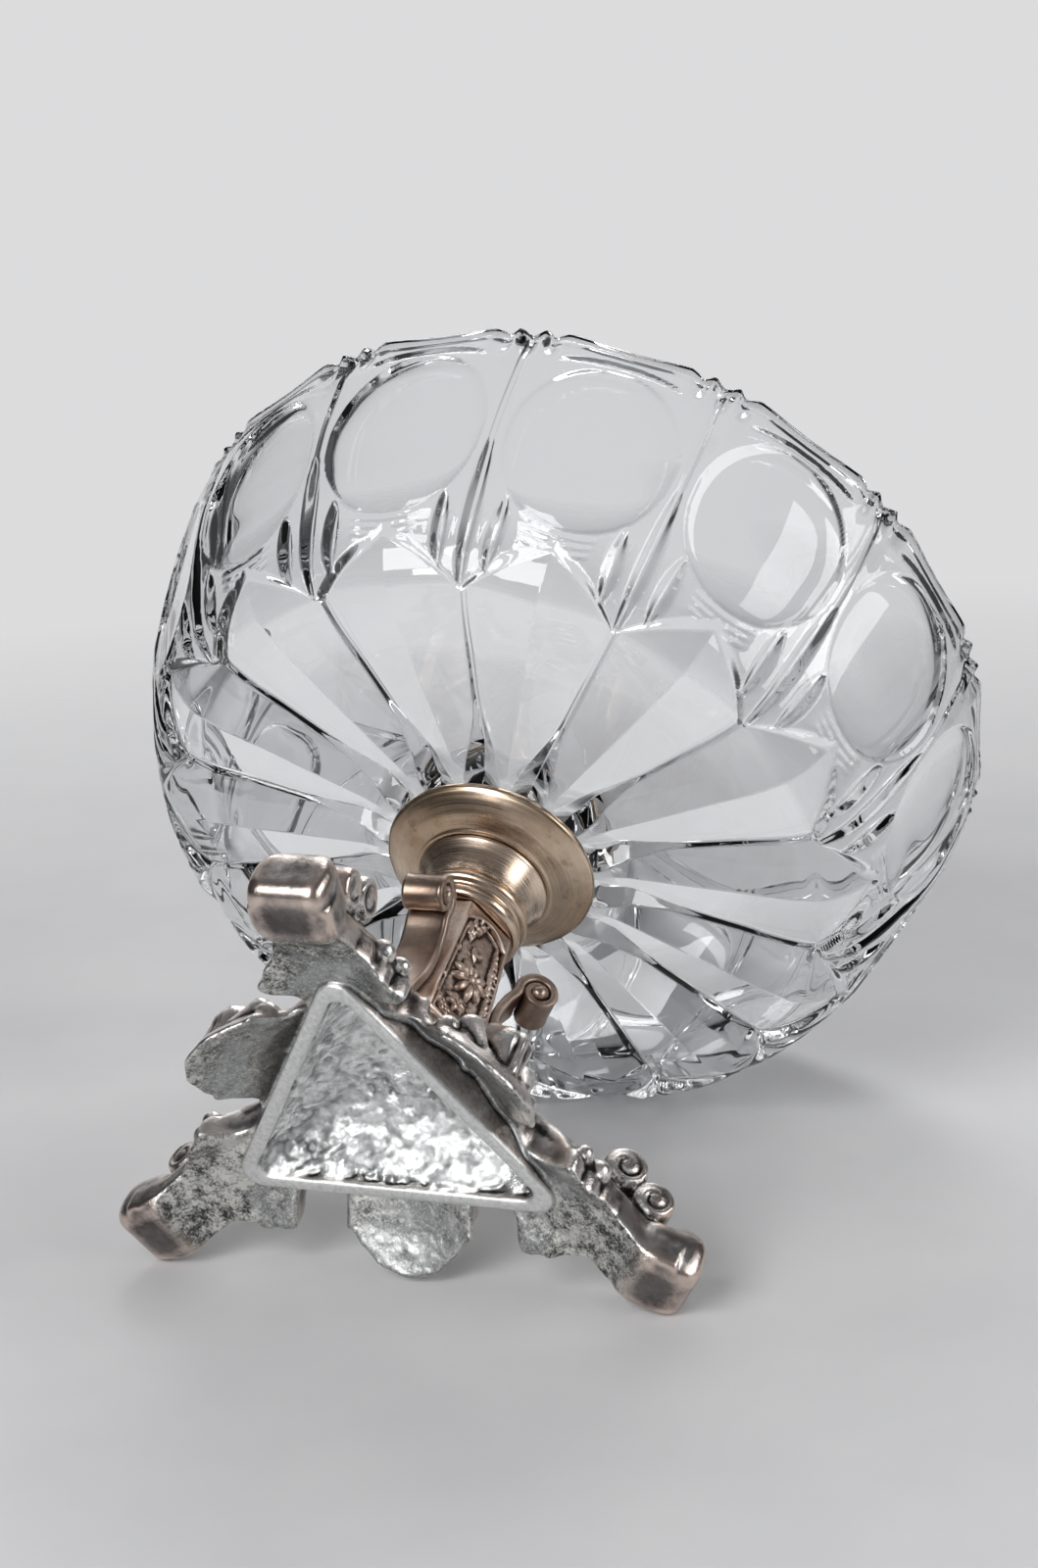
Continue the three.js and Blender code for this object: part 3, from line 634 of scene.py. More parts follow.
def net(values, low, cell):
    """Points and quads of the surface where the values change sign."""
    flats, spots, turned = [], [], []
    for axis in range(3):
        cross, spot, outward = crossings(values, axis)
        for du, dv in ((0, 0), (1, 0), (1, 1), (0, 1)):
            cell_at = cross.copy()
            cell_at[:, (axis + 1) % 3] -= du
            cell_at[:, (axis + 2) % 3] -= dv
            flats.append(np.ravel_multi_index(cell_at.T, values.shape))
            spots.append(spot)
        turned.append(outward)
    _, place = np.unique(np.concatenate(flats), return_inverse=True)
    points = sums(place, np.concatenate(spots)) / np.bincount(place)[:, None]
    quads = []
    start = 0
    for outward in turned:
        size = len(outward)
        quad = place[start:start + 4 * size].reshape(4, size).T
        quads.append(np.where(outward[:, None], quad, quad[:, ::-1]))
        start += 4 * size
    return points * cell + np.array(low), np.concatenate(quads)


def relax(points, quads, rounds, share):
    """Each point moves a share of the way to the middle of its neighbours."""
    a, b = quads.T.ravel(), np.roll(quads, -1, axis=1).T.ravel()
    degree = np.bincount(a)[:, None]
    for _ in range(rounds):
        points = points + share * (sums(a, points[b]) / degree - points)
    return points


def recess(points, quads, rounds=14):
    """How far each point lies behind the smoothed surface, and which way the surface faces there."""
    across = np.cross(points[quads[:, 2]] - points[quads[:, 0]], points[quads[:, 3]] - points[quads[:, 1]])
    normal = sums(quads.ravel(), np.repeat(across, 4, axis=0))
    normal /= np.linalg.norm(normal, axis=1)[:, None] + 1e-9
    even = relax(points, quads, rounds, 1.0)
    return np.einsum("ij,ij->i", even - points, normal), normal


def set_layer(piece, name, values):
    layer = piece.data.attributes.new(name, "FLOAT", "POINT")
    layer.data.foreach_set("value", np.asarray(values, np.float32))


def cast_piece(name, field, low, high, cell, material, depth, node):
    """A piece from its field, with layers that say where it is sunk and where it faces down."""
    points, quads = net(field_on_grid(field, low, high, cell), low, cell)
    points = relax(points, quads, 2, 0.35)
    behind, normal = recess(points, quads)
    piece = make_piece(name, points, quads, material, node)
    set_layer(piece, "recess", clamp01(0.5 + behind / depth))
    set_layer(piece, "under", smooth(-2.4 * normal[:, 2] - 0.2))
    return piece


# Cut glass

OUT_WAYS = way_along(np.array(OUTSIDE))
BOTTOM_END = OUT_WAYS[3]
WALL_START = OUT_WAYS[5]
WALL_END = OUT_WAYS[-1]
SEGMENT = 360.0 / SEGMENTS
HALF = SEGMENT / 2


def fan_offset(angle):
    """Degrees from the middle of the nearest fan."""
    return np.abs(np.mod(angle - FAN_TURN + HALF, SEGMENT) - HALF)


def leaf(way, across, start, end):
    """A lens-shaped cut with a sharp middle line, pointed at both ends."""
    t = clamp01((way - start) / (end - start))
    half = LEAF_HALF_WIDTH * np.sin(math.pi * t)**0.75 + 1e-6
    return LEAF_DEPTH * peak(np.abs(across) / half)


def bottom_cuts(way, across, share, arch):
    """Petals of two facets below a pointed arch, with a spear and a fine valley between them."""
    bevel = 0.7 + 2.8 * share
    roof = ARCH_STEP + PETAL_DEPTH * (1.0 - share)
    petal = roof * clamp01((arch - way) / bevel) * smooth(way / 9.0)
    spear_half = SPEAR_HALF_WIDTH * clamp01(1.0 - way / SPEAR_LENGTH)
    spear = 0.75 * np.maximum(0.0, spear_half - across)
    valley = VALLEY_DEPTH * peak(across / 1.1) * smooth((way - 12.0) / 8.0)
    return petal + spear + valley * clamp01((arch - way) / 1.5)


def oval_cut(way, back):
    above = way - (WALL_START + OVAL_HALF_HEIGHT + 2.0)
    inside = np.hypot(above / OVAL_HALF_HEIGHT, back / OVAL_HALF_WIDTH)
    return OVAL_DEPTH * peak(inside**2)**0.55


def fan_cuts(way, across):
    """Three leaves, and the groove that runs on from them to the rim."""
    lean = 5.6 + (way - BOTTOM_END) * 0.08
    middle = leaf(way, across, BOTTOM_END - 1.0, WALL_START + 25.0)
    beside = leaf(way, across - lean, BOTTOM_END + 4.5, WALL_START + 8.0)
    groove_half = 0.4 + 0.1 * (way - WALL_START)
    groove = GROOVE_DEPTH * peak(across / groove_half) * smooth((way - WALL_START - 30) / 14)
    return np.maximum(np.maximum(middle, beside), groove)


def step_cuts(way, back, arch):
    """Small steps between a petal's arch and the oval over it."""
    middle = WALL_START + 0.35 * back**2 / OVAL_HALF_WIDTH
    fading = clamp01((STEP_HALF_SPAN - back) / 3.0)
    steps = sum(STEP_DEPTH * peak(np.abs(way - middle - rise)) * fading for rise in STEP_RISES)
    return np.where(way > arch, steps, 0.0)


def crescent_cut(way, back):
    """The lens between an oval and the rim."""
    middle = WALL_END - 6.0 - 0.012 * back**2
    half = 1.7 * arched(back / CRESCENT_HALF_SPAN) + 1e-6
    return CRESCENT_DEPTH * peak(np.abs(way - middle) / half)


def cut_depth(way, radius, angle):
    side = fan_offset(angle)
    share = side / HALF
    across = np.radians(side) * radius
    back = np.radians(HALF - side) * radius
    arch = lerp(BOTTOM_END - 1.0, WALL_START, share**0.8)
    cuts = (
        bottom_cuts(way, across, share, arch), oval_cut(way, back), fan_cuts(way, across),
        step_cuts(way, back, arch), crescent_cut(way, back),
    )
    return np.maximum.reduce(cuts)


def notch(angle):
    return -NOTCH_DEPTH * along(NOTCHES, fan_offset(angle) / HALF)


def cut_outside(angle):
    """The cut outer surface, one ring of (radius, height) for each step from seat to rim."""
    way, outside = curved(OUTSIDE, 230)
    slope = np.gradient(outside, way, axis=0)
    slope /= np.linalg.norm(slope, axis=1)[:, None]
    radius, height = outside[:, :1], outside[:, 1:]
    depth = cut_depth(way[:, None], radius, angle)
    wave = smooth((way[:, None] - WALL_END + 11.0) / 9.0) * notch(angle)
    cut_radius = radius - depth * slope[:, 1:] + wave
    cut_height = height + depth * slope[:, :1] + 0.35 * wave
    return list(np.stack([cut_radius, cut_height], -1))


def rim_rings(angle):
    """The rounded rim; each ring follows the notches by its share."""
    rim = (
        (0.0, 2.1, 1.0), (0.1, 1.6, 1.0), (1.3, 0.12, 1.0), (1.6, 0.0, 1.0),
        (3.4, 0.0, 0.9), (3.7, 0.1, 0.9), (5.0, 1.4, 0.7), (5.2, 1.9, 0.6),
    )
    wave = notch(angle)
    return [
        np.stack([RIM_RADIUS - inward + share * wave, RIM_HEIGHT - below + 0.35 * share * wave], -1)
        for inward, below, share in rim
    ]


def plain_rings(profile, columns):
    return [np.tile(spot, (columns, 1)) for spot in profile]


def glass_bowl():
    columns = SEGMENTS * COLUMNS_PER_SEGMENT
    angle = FAN_TURN + np.arange(columns) * 360.0 / columns
    turn = np.radians(angle)
    rings = plain_rings(PEG, columns) + cut_outside(angle) + rim_rings(angle)
    rings += plain_rings(curved(INSIDE, 80)[1], columns)
    ring = np.stack(rings)
    points = np.stack([*polar(ring[..., 0], turn), ring[..., 1]], -1)
    return make_piece("cut_glass_bowl", points.reshape(-1, 3), grid_faces(len(rings), columns), glass_finish,
                      "glass_bowl", end_caps(len(rings), columns))


glass = glass_bowl()

# Plaster bed, shown as the solid that the frame holds
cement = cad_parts["bowl_cement"].data.materials
cement.clear()
cement.append(plaster_material())

# Collar and neck
lathe("spun_collar_dish", rounded_profile(COLLAR, COLLAR_ROUNDING), collar_finish,
      "collar_dish")
lathe("turned_neck", rounded_profile(NECK, NECK_ROUNDING), neck_finish, "neck_ring")


# Relief of a stem panel, as a map of heights over (across, height)

ACROSS = np.arange(-MAP_HALF, MAP_HALF + MAP_STEP, MAP_STEP)
RISE = np.arange(STEM_BOTTOM - 1.0, STEM_TOP + 1.0, MAP_STEP)


def tapered(height, foot, waist, top):
    """Way out from the axis: it flares below two fifths of the stem's height and leans in above."""
    share = (height - STEM_BOTTOM) / (STEM_TOP - STEM_BOTTOM)
    low = lerp(foot, waist, smooth(share / 0.4))
    return np.where(share < 0.4, low, lerp(waist, top, (share - 0.4) / 0.6))


def panel_face(height):
    return tapered(height, *PANEL_WAYS)


def corner_face(height):
    return tapered(height, *CORNER_WAYS)


def dome(a, b, middle, size, height):
    far = np.hypot(a - middle[0], b - middle[1]) / size
    return height * arched(far)


def veined_leaf(a, b, route, half_width, height, barbs):
    """A leaf along a route of points, arched across, with a middle vein and slanting barbs."""
    _, line = curved(route, 40)
    spot = np.stack([a.ravel(), b.ravel()], -1)
    gap = np.linalg.norm(spot[:, None] - line, axis=2)
    t = gap.argmin(axis=1) / (len(line) - 1.0)
    away = gap.min(axis=1)
    half = half_width * np.sin(math.pi * (0.08 + 0.92 * t)**0.8) + 0.15
    ribs = 0.84 + 0.16 * np.cos(2 * math.pi * (t * barbs + away / half * 0.8))
    vein = 1.0 - 0.35 * line_at(away, 0.0, 0.3)
    return (height * arched(away / half) * ribs * vein).reshape(a.shape)


def flower(a, b, middle, size, petals, height):
    """Cupped petals with a middle crease round a grained eye."""
    far = np.hypot(a - middle[0], b - middle[1])
    turn = np.arctan2(b - middle[1], a - middle[0]) * petals / (2 * math.pi)
    aside = (turn - np.round(turn)) * 2.0
    edge = size * (0.86 + 0.14 * np.cos(math.pi * aside))
    cup = arched((far / edge - 0.55) / 0.5)
    leafing = arched(aside) * (1.0 - 0.3 * line_at(aside, 0.0, 0.22))
    petal = height * cup * (0.25 + 0.75 * leafing)
    eye = dome(a, b, middle, size * 0.27, height * 1.15)
    grains = 0.18 * np.cos(far * 7.0) * (far < size * 0.27)
    return np.maximum(petal, eye + grains)


def panel_ornaments(a, b):
    """Hanging leaf and stalk, feather leaf at one side, two leaves at the foot, flowers and berries."""
    raised = [
        veined_leaf(a, b, [(-0.2, 71.0), (-2.4, 69.2), (-3.6, 66.4), (-3.0, 63.0)], 2.5, 1.7, 4),
        veined_leaf(a, b, [(-1.0, 62.4), (-0.6, 60.4), (0.2, 58.6)], 0.7, 1.2, 1),
        veined_leaf(a, b, [(8.6, 42.0), (7.4, 50.0), (6.4, 57.0), (5.4, 64.0), (4.4, 70.0)], 1.5, 1.7, 14),
        veined_leaf(a, b, [(-2.6, 33.6), (-6.0, 36.6), (-8.2, 42.0)], 1.6, 1.7, 6),
        veined_leaf(a, b, [(2.4, 33.6), (6.0, 36.4), (8.2, 40.6)], 1.6, 1.7, 6),
        flower(a, b, (-1.6, 42.6), 3.2, 7, 1.7),
        flower(a, b, (0.4, FLOWER_HEIGHT), FLOWER_RADIUS, 9, 2.1),
    ]
    for berry in ((0.9, 61.0), (-5.8, 58.4), (3.0, 44.2), (-7.0, 47.6)):
        raised.append(dome(a, b, berry, 0.9, 1.3))
    return np.maximum.reduce(raised)


def panel_map():
    """A border with two fine lines round a pebbled ground that carries the ornaments."""
    a, b = np.meshgrid(ACROSS, RISE, indexing="ij")
    half = (corner_face(b) - panel_face(b) * 0.5) / math.sin(math.pi / 3)
    inward = np.minimum(half - np.abs(a) - 0.4, PANEL_ARCH_TOP - 0.075 * a**2 - b)
    inward = np.minimum(inward, b - PANEL_FOOT)
    border = 1.0 - smooth((inward - 0.5) / 0.6)
    lines = 0.35 * line_at(inward, 0.3, 0.4) + 0.9 * line_at(inward, 1.9, 0.4)
    pebbles = 0.16 * lattice_noise(a * 1.3 + 40, b * 1.3, 0 * a + 0.5, 3)
    relief = (PANEL_SINK + 0.25) * border + lines + pebbles * (1.0 - border)
    return np.where(inward > 0.6, np.maximum(relief, panel_ornaments(a, b)), relief)


PANEL = panel_map()


def panel_height(a, b):
    """The relief's height at any place, from the map's points round it."""
    i = np.clip((a - ACROSS[0]) / MAP_STEP, 0, len(ACROSS) - 1.001)
    j = np.clip((b - RISE[0]) / MAP_STEP, 0, len(RISE) - 1.001)
    i0, j0 = i.astype(int), j.astype(int)
    low, high = [lerp(PANEL[i0, row], PANEL[i0 + 1, row], i - i0) for row in (j0, j0 + 1)]
    return lerp(low, high, j - j0)


# Stem casting

def stem_field(x, y, z):
    radius = np.hypot(x, y)
    offset = np.mod(np.degrees(np.arctan2(y, x)) - 90.0 + 60.0, 120.0) - 60.0
    out, across = polar(radius, np.radians(offset))
    corner = polar(radius, np.radians(60.0 - np.abs(offset)))[0]
    panel = out - (panel_face(z) - PANEL_SINK + panel_height(across, z))
    sides = soft_max(panel, corner - corner_face(z), 0.5)
    ends = np.maximum(STEM_BOTTOM - z, z - STEM_TOP)
    return soft_max(sides * 0.8, ends, 0.3)


cast_piece("cast_stem", stem_field, (-20.0, -20.0, 29.0), (20.0, 20.0, 74.2), STEM_CELL,
           stem_finish, 0.7, "stem_body")


# Foot casting: each point is seen from the nearest leg (out, side) and from the nearest shell

def around_foot(x, y):
    """Radius, degrees from the nearest shell, then way out and aside for the leg and for the shell."""
    radius = np.hypot(x, y)
    angle = np.abs(np.mod(np.degrees(np.arctan2(y, x)) + 150.0, 120.0) - 60.0)
    return radius, 60.0 - angle, polar(radius, np.radians(angle)), polar(radius, np.radians(60.0 - angle))


def notch_cut(out, across):
    """The round slot between a shell and a leg."""
    notch_round = np.hypot(out - NOTCH_OUT, across - NOTCH_SIDE) - NOTCH_RADIUS
    slot = np.maximum(NOTCH_OUT - out, np.abs(across - NOTCH_SIDE) - NOTCH_RADIUS)
    return np.minimum(notch_round, slot)


def skirt_outline(radius, out, across):
    """How far a point lies outside the skirt's plan, from the middle of the nearest shell."""
    ripple = 0.15 * np.cos(np.degrees(np.arctan2(across, out - 20.0)) * math.pi / 9.0)
    block = np.maximum(LOBE_START - out, across - NOTCH_SIDE - NOTCH_RADIUS)
    disc = np.maximum(radius - SKIRT_RADIUS, -block)
    lobe = np.hypot(out - LOBE_CENTRE, across) - LOBE_RADIUS + 0.15 - ripple
    return soft_max(soft_min(disc, lobe, 1.5), -notch_cut(out, across), 1.2)


def skirt_relief(edge, angle, radius, out, across):
    """Mouldings along the edge, flutes over a shell, and its scrolls."""
    arc = np.radians(angle) * radius
    relief = 0.8 * line_at(edge, 1.4, 0.75)
    relief += (0.42 + 0.2 * np.cos(2 * math.pi * arc / 1.8)) * line_at(edge, 3.5, 0.55)
    fan = np.degrees(np.arctan2(across, out - 21.0))
    flutes = 1.9 * np.abs(np.cos(math.pi * fan / 17.0)) * smooth((out - 29.0) / 4.0)
    relief += flutes * (1.0 - smooth((fan - 62.0) / 8.0)) * smooth((edge - 1.0) / 2.0)
    for middle, size in SKIRT_SCROLLS:
        far = np.hypot(out - middle[0], across - middle[1])
        relief = np.maximum(relief, 1.7 * arched((far - size) / 1.15))
        relief = np.maximum(relief, dome(out, across, middle, 1.5, 1.6))
    return relief


def skirt_field(x, y, z, radius, angle, shell):
    """The skirt, and the height of its top."""
    plan = skirt_outline(radius, *shell)
    share = smooth((angle - 24.0) / 18.0)
    top = lerp(along(SHELL_TOP, radius), along(BESIDE_LEG, radius), share)
    relief = skirt_relief(-plan, angle, radius, *shell)
    sand = 0.12 * lattice_noise(x * 1.1, y * 1.1, z * 1.1, 11)
    upper = (z - top - relief * (1.0 - share)) * 0.62
    lower = (top - SKIRT_THICKNESS - z) * 0.62 + sand
    return soft_max(soft_max(upper, lower, 0.7), plan, 1.3), top


def leg_crown(out, side, width, low):
    """Height of a leg's top: an arched back with a middle crease, an edge roll and a beaded line."""
    ridge = along(LEG_TOP, out)
    drop = np.maximum(1.5, ridge - low - 5.6)
    crown = ridge - drop * smooth((side - 5.0) / (width - 4.0))
    inward = width - side
    crown += 0.75 * line_at(inward, 1.3, 0.6)
    crown += (0.4 + 0.2 * np.cos(2 * math.pi * out / 1.6)) * line_at(inward, 3.1, 0.45)
    return crown - 0.5 * line_at(side, 2.4, 0.5) * smooth((out - 30) / 6)


def leg_field(x, y, z, leg, shell):
    out, side = leg
    ripple = 0.9 * np.abs(np.sin((out - 31.0) * math.pi / 5.2))
    ripple = ripple * smooth((out - 30) / 4) * (1 - smooth((out - 50) / 6))
    width = along(LEG_WIDTH, out) + ripple - 0.5
    droop = 3.8 * smooth((side - 7.0) / 9.0) * smooth((out - 27.0) / 7.0)
    low = along(LEG_LOW, out) - droop * (1.0 - smooth((out - 49.0) / 8.0))
    patches = 0.16 * lattice_noise(x * 0.9, y * 0.9, z * 0.9, 12)
    field = soft_max(side - width, (z - leg_crown(out, side, width, low)) * 0.85, 1.6)
    field = soft_max(field, (low - z) * 0.8 + patches, 0.9)
    field = np.maximum(field, np.maximum(6.0 - out, out - FOOT_RADIUS))
    return soft_max(field, -notch_cut(*shell), 1.2)


def roll(out, side, z, middle, radius, half_width, edge):
    """A scroll that lies across the leg, its ends cut with a spiral."""
    far = np.hypot(out - middle[0], z - middle[1])
    turn = np.arctan2(z - middle[1], out - middle[0]) / (2 * math.pi)
    spiral = np.cos(2 * math.pi * (far / radius * 1.8 - turn))
    face = side - half_width + 0.28 * (1.0 + spiral) * (far > radius * 0.28)
    return soft_max(far - radius, face, edge)


def ball(a, b, c, middle, radius):
    return np.sqrt((a - middle[0])**2 + (b - middle[1])**2 + (c - middle[2])**2) - radius


def capsule(a, b, c, start, first, end, last):
    """Distance to a round bar whose radius goes from first to last."""
    start, end = np.array(start, float), np.array(end, float)
    way = end - start
    t = clamp01(((a - start[0]) * way[0] + (b - start[1]) * way[1] + (c - start[2]) * way[2]) / (way @ way))
    far = (a - start[0] - t * way[0])**2 + (b - start[1] - t * way[1])**2 + (c - start[2] - t * way[2])**2
    return np.sqrt(far) - lerp(first, last, t)


def toe_field(out, side, z):
    """The rolled foot at the end of a leg, with a small scroll on top."""
    toe = soft_max(np.abs(out - FOOT_RADIUS + 1.8) - 8.4, np.abs(z - FOOT_ROLL + 0.3) - 6.5, 4.8)
    toe = soft_max(toe, side - FOOT_WIDTH / 2, 4.0)
    return soft_min(toe, roll(out, side, z, *TOE_SCROLL), 2.4)


def leg_scrolls(out, side, z):
    first, second = [roll(out, side, z, *scroll) for scroll in LEG_SCROLLS]
    scroll = soft_min(first, second, 0.8)
    for middle, radius, blend in LEG_BEADS:
        scroll = soft_min(scroll, ball(out, side, z, middle, radius), blend)
    return scroll


def chain(a, b, c, stops, blend):
    """Round bars from stop to stop, each stop a middle and a radius."""
    bars = [capsule(a, b, c, *ends[0], *ends[1]) for ends in zip(stops, stops[1:])]
    return functools.reduce(lambda joined, bar: soft_min(joined, bar, blend), bars)


def leaf_knob(out, across, z):
    """Ribbed leaf that rises over a shell's middle and curls over its edge, a scroll on each side."""
    ribs = 0.8 * np.abs(np.cos(across * 0.95)) - 0.35
    spine = chain(out, across, z, LEAF_SPINE, 0.8) - ribs
    spine = soft_min(spine, ball(out, across, z, *SPINE_BALL), 0.4)
    curl = chain(out, across, z, LEAF_CURL, 0.5)
    curl = soft_min(curl, ball(out, across, z, *CURL_BALL), 0.4)
    return soft_min(spine, curl, 0.4)


def rounded_triangle(apothem, corner, leg, shell):
    reach = 2.0 * (apothem - corner)
    tip = np.hypot(leg[0] - reach, leg[1]) - corner
    return np.where(shell[1] > math.sqrt(3.0) * (apothem - corner), tip, shell[0] - apothem)


def hollow_field(x, y, z, leg, shell):
    """The hollow inside the triangular wall, narrower upwards, with rough lumps and crags."""
    shrink = along(HOLLOW_SHARES, z)
    hollow = rounded_triangle((WALL_APOTHEM - WALL_WIDTH) * shrink, HOLLOW_CORNER * shrink, leg, shell)
    rough = 1.1 * lattice_noise(x * 0.17, y * 0.17, z * 0.2, 21)
    crags = 1.0 + 0.8 * lattice_noise(x * 0.11, y * 0.11, z * 0.11, 24)
    rough += 1.0 * crags * np.abs(lattice_noise(x * 0.31, y * 0.27, z * 0.3, 22))
    rough += 0.55 * crags * lattice_noise(x * 0.8, y * 0.65, z * 0.7, 23)
    return soft_max(hollow * 0.85, (z - HOLLOW_TOP) * 0.9, 2.0) + rough * smooth((z - 9.8) / 2.5)


def foot_field(x, y, z):
    radius, angle, leg, shell = around_foot(x, y)
    skirt, top = skirt_field(x, y, z, radius, angle, shell)
    ends = soft_min(toe_field(*leg, z), leg_scrolls(*leg, z), 0.4)
    casting = soft_min(soft_min(skirt, leg_field(x, y, z, leg, shell), 1.2), ends, 1.0)
    casting = soft_min(casting, leaf_knob(*shell, z), 0.8)
    wall = rounded_triangle(WALL_APOTHEM, WALL_CORNER, leg, shell)
    wall = soft_max(soft_max(wall, WALL_BOTTOM - z, 0.7), (z - top + 1.0) * 0.6, 0.5)
    casting = soft_min(casting, wall, 1.0)
    casting = soft_max(casting, -hollow_field(x, y, z, leg, shell), 0.5)
    return np.maximum(casting, -z)


def in_hollow(x, y, z):
    """1 inside the triangular wall, 0 elsewhere."""
    shell_out = around_foot(x, y)[3][0]
    inner = WALL_APOTHEM - WALL_WIDTH - 0.2
    return smooth((inner - shell_out) / 0.8) * smooth((z - 10.4) / 1.6) * smooth((27.6 - z) / 0.8)


def on_wall_land(x, y, z):
    """1 on the flat underside of the triangular wall, 0 elsewhere."""
    outer = rounded_triangle(WALL_APOTHEM, WALL_CORNER, *around_foot(x, y)[2:])
    return smooth((0.5 - outer) / 0.6) * smooth((WALL_BOTTOM + 1.3 - z) / 0.5)


foot = cast_piece("cast_foot", foot_field, (-83.0, -83.0, -2.0), (83.0, 83.0, 33.0), FOOT_CELL,
                  foot_finish, 0.9, "foot_casting")
foot_points = (piece_points(foot) / MM).T
set_layer(foot, "hollow", in_hollow(*foot_points))
set_layer(foot, "land", on_wall_land(*foot_points))


# Scroll straps, drawn in the plane of a leg and then turned to it

def strap_route():
    """The strap's middle line as (way out, height): up the stem's corner and round into a spiral."""
    route = []
    for share in (0.0, 0.08, 0.16, 0.24, 0.32, 0.4, 0.48):
        height = lerp(STEM_BOTTOM, STEM_TOP, share)
        room = 0.25 if share < 0.3 else 0.1
        route.append((float(corner_face(np.float64(height))) + 0.3 + STRAP_THICKNESS / 2 + room, height))
    t = np.linspace(0.0, 1.0, 60)
    turn = np.radians(lerp(*VOLUTE_TURNS, t))
    start = VOLUTE_RADIUS - STRAP_THICKNESS / 2
    reach = lerp(start, start * 0.22, t)
    coil = np.stack(polar(reach, turn), -1) + (VOLUTE_REACH, VOLUTE_HEIGHT)
    route.append((lerp(route[-1][0], coil[0, 0], 0.4), lerp(route[-1][1], coil[0, 1], 0.55)))
    return curved([*route, *coil], 260)[1]


def strap_band(route):
    """A band with squared edges and a fine roll along each, swept along the route."""
    ahead = np.gradient(route, axis=0)
    ahead /= np.linalg.norm(ahead, axis=1)[:, None]
    square = np.stack([ahead[:, 1], -ahead[:, 0]], -1)
    t = np.linspace(0.0, 1.0, len(route))
    thick = STRAP_THICKNESS / 2 * (1.0 - 0.35 * smooth((t - 0.45) / 0.5))
    wide = STRAP_WIDTH / 2 * (1.0 - 0.06 * smooth((t - 0.5) / 0.4))
    columns = 36
    squareness = 0.22
    a, b = [np.sign(v) * np.abs(v)**squareness for v in polar(1.0, even_turns(columns))]
    edge_roll = 1.0 + 0.18 * line_at(np.abs(b), 0.86, 0.09) - 0.1 * line_at(np.abs(b), 0.66, 0.08)
    out = route[:, None] + square[:, None] * (thick[:, None] * (a * edge_roll))[..., None]
    side = wide[:, None] * b
    points = np.stack([out[..., 0], side, out[..., 1]], -1).reshape(-1, 3)
    return points, grid_faces(len(route), columns), end_caps(len(route), columns)


def strap_eye(first):
    """The boss through the roll; its points are counted from the number given."""
    edge = [*EYE_EDGE, *[(radius, -aside) for radius, aside in reversed(EYE_EDGE)]]
    rings = []
    for radius, aside in edge:
        out, up = polar(radius, even_turns(EYE_STEPS))
        rings.append(np.stack([VOLUTE_REACH + out, np.full(EYE_STEPS, aside), VOLUTE_HEIGHT + up], -1))
    faces = grid_faces(len(edge), EYE_STEPS) + first
    return np.concatenate(rings), faces, end_caps(len(edge), EYE_STEPS, first)


def scroll_strap(name, angle, node):
    band, band_quads, band_caps = strap_band(strap_route())
    eye, eye_quads, eye_caps = strap_eye(len(band))
    x, y, z = np.concatenate([band, eye]).T
    c, s = math.cos(math.radians(angle)), math.sin(math.radians(angle))
    points = np.stack([x * c - y * s, x * s + y * c, z], -1)
    quads = np.concatenate([band_quads, eye_quads])
    piece = make_piece(name, points, quads, strap_finish, node, band_caps + eye_caps)
    set_layer(piece, "recess", np.full(len(points), 0.4))


for number, angle in enumerate(LEG_ANGLES, 1):
    scroll_strap(f"strap_{number}", angle, f"scroll_strap_{number}")


# Camera

camera_data = bpy.data.cameras.new("photo_camera")
camera_data.lens = LENS
camera_data.sensor_width = 36.0
camera = show("photo_camera", camera_data)
right = Vector(CAMERA_RIGHT).normalized()
ahead = Vector(CAMERA_AHEAD).normalized()
down = ahead.cross(right).normalized()
turned = Matrix((right, -down, -ahead)).transposed().to_4x4()
camera.matrix_world = Matrix.Translation(Vector(CAMERA_PLACE)) @ turned
bpy.context.scene.camera = camera


# Floor, light and background

def lying_table(pieces, low=15.0, high=30.0):
    """The table's upward direction and its distance from the origin: it touches the rim and two feet."""
    across, aside = math.cos(math.pi / 6), 0.5
    spots = []
    for piece in pieces:
        x, y, z = piece_points(piece).T
        spots.append((-(x * across + y * aside), z))
    for _ in range(24):
        slope = math.radians((low + high) / 2)
        rim, toes = [float((out * math.cos(slope) - z * math.sin(slope)).max()) for out, z in spots]
        if rim > toes:
            low = math.degrees(slope)
        else:
            high = math.degrees(slope)
    up = Vector((math.cos(slope) * across, math.cos(slope) * aside, math.sin(slope)))
    return up, max(rim, toes)


TABLE_UP, table_reach = lying_table((glass, foot))
table_right = (right - right.dot(TABLE_UP) * TABLE_UP).normalized()
table_front = table_right.cross(TABLE_UP)


def soft_lamp(name, place, size, power):
    data = bpy.data.lights.new(name, "AREA")
    data.shape = "RECTANGLE"
    data.size, data.size_y = size
    data.energy = power
    offset = table_right * place[0] - table_front * place[1] + TABLE_UP * place[2]
    turn = (-offset).to_track_quat("-Z", "Y").to_matrix().to_4x4()
    show(name, data).matrix_world = Matrix.Translation(BOWL_MIDDLE + offset) @ turn


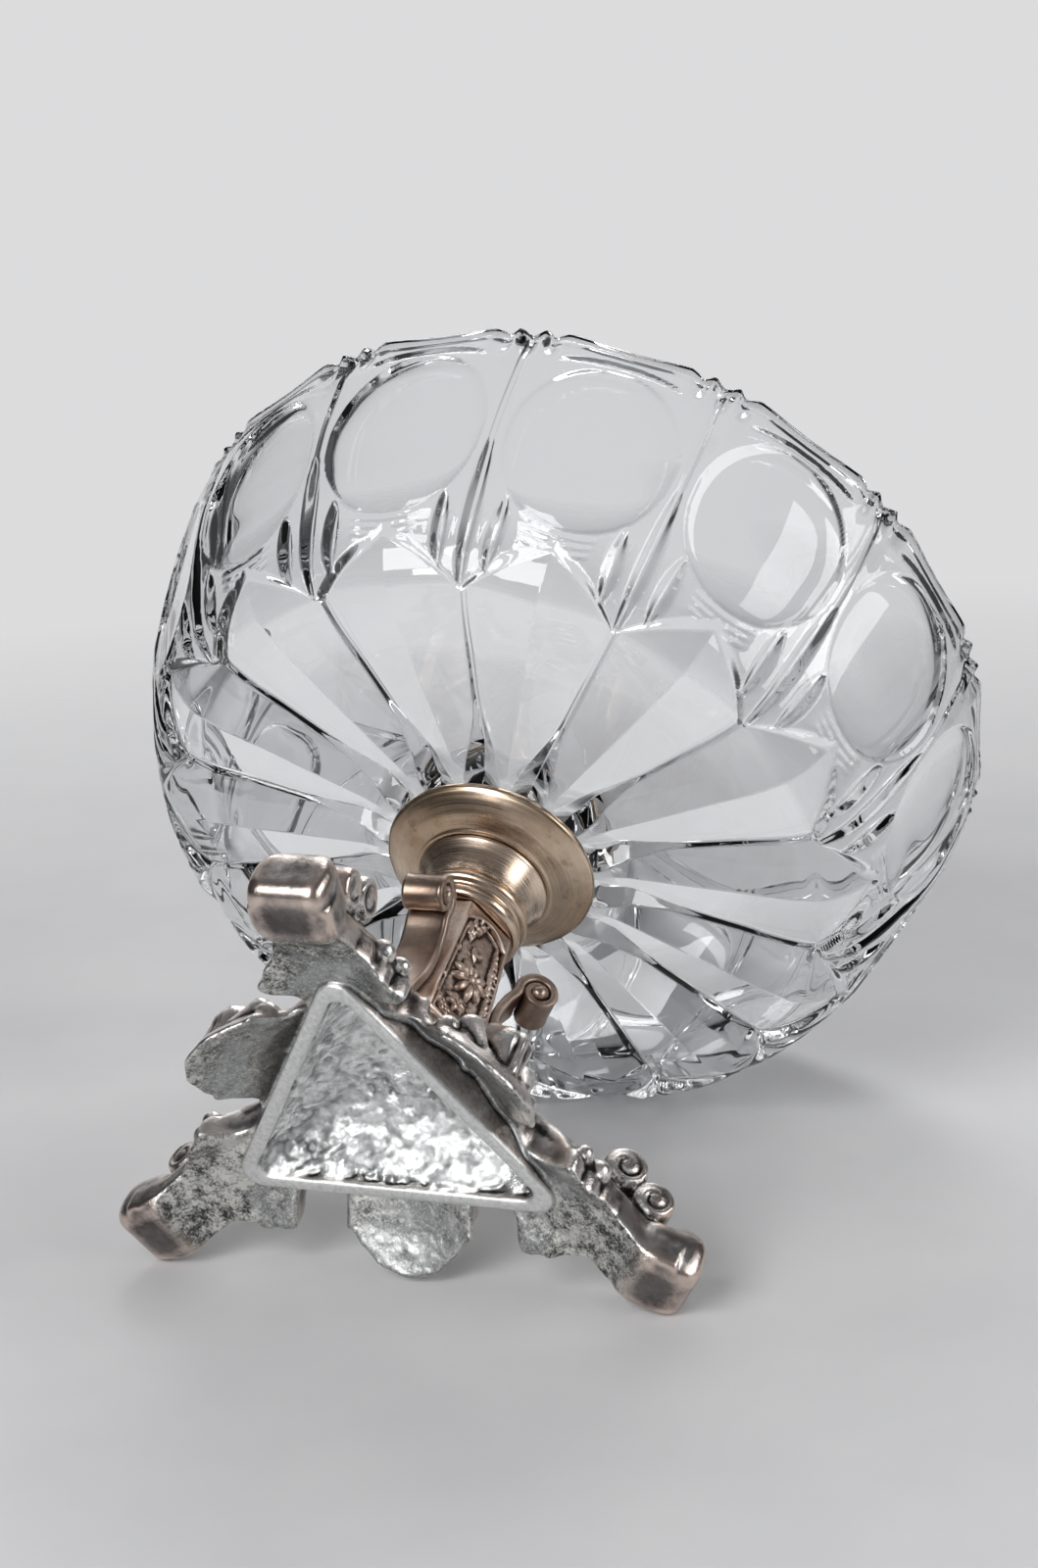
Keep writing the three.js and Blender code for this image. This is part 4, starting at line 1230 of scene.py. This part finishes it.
def table_material():
    """Pale and matt, fading into the background away from the bowl and clear from below."""
    material = bpy.data.materials.new("pale_table")
    look = Look(material, "Principled BSDF")
    look.set("Roughness", 0.55)
    place = look.place()
    cloud = look.noise(place, 14.0, 3.0)
    look.set("Base Color", look.ramp(cloud, [(0.3, (0.62, 0.62, 0.63)), (0.7, (0.68, 0.68, 0.685))]))
    fade = look.new("MapRange", Value=look.vector("LENGTH", place))
    fade.inputs["From Min"].default_value, fade.inputs["From Max"].default_value = TABLE_FADE
    below = look.new("NewGeometry").outputs["Backfacing"]
    joined = look.new("MixShader", Fac=look.maths("MAXIMUM", fade.outputs["Result"], below))
    look.give(joined.inputs[1], look.shader.outputs["BSDF"])
    look.give(joined.inputs[2], look.new("BsdfTransparent").outputs["BSDF"])
    look.give(look.nodes["Material Output"].inputs["Surface"], joined.outputs["Shader"])
    return material


def table():
    steps = 96
    rim = np.stack([*polar(1.0, even_turns(steps)), np.zeros(steps)], -1)
    mesh = bpy.data.meshes.new("table")
    mesh.from_pydata(rim.tolist(), [], [list(range(steps))])
    mesh.materials.append(table_material())
    piece = show("table", mesh)
    middle = BOWL_MIDDLE - TABLE_UP * (TABLE_UP.dot(BOWL_MIDDLE) + table_reach + TABLE_GAP)
    piece.matrix_world = Matrix.Translation(middle) @ TABLE_UP.to_track_quat("Z", "Y").to_matrix().to_4x4()


def background():
    """Pale behind the bowl, greyer overhead and dark at both sides, to draw the cuts in the glass."""
    world = bpy.data.worlds.new("studio")
    bpy.context.scene.world = world
    look = Look(world, "Background")
    place = look.place("Generated")
    rise = look.vector("DOT_PRODUCT", place, (TABLE_UP * 0.66 + table_front * 0.75).normalized())
    color = look.ramp(look.plus(look.times(rise, 0.5), 0.5), [
        (0.0, (0.80, 0.80, 0.81)), (0.48, (0.78, 0.78, 0.79)), (0.6, (0.36, 0.37, 0.38)),
        (0.75, (0.2, 0.2, 0.21)),
    ])
    aside = look.maths("ABSOLUTE", look.vector("DOT_PRODUCT", place, table_right))
    look.set("Color", look.mixed(look.step(aside, 0.4, 0.6), color, (0.05, 0.05, 0.053)))
    look.set("Strength", 0.9)


background()
table()
for lamp in LAMPS:
    soft_lamp(*lamp)

bpy.context.scene.view_settings.view_transform = "Standard"
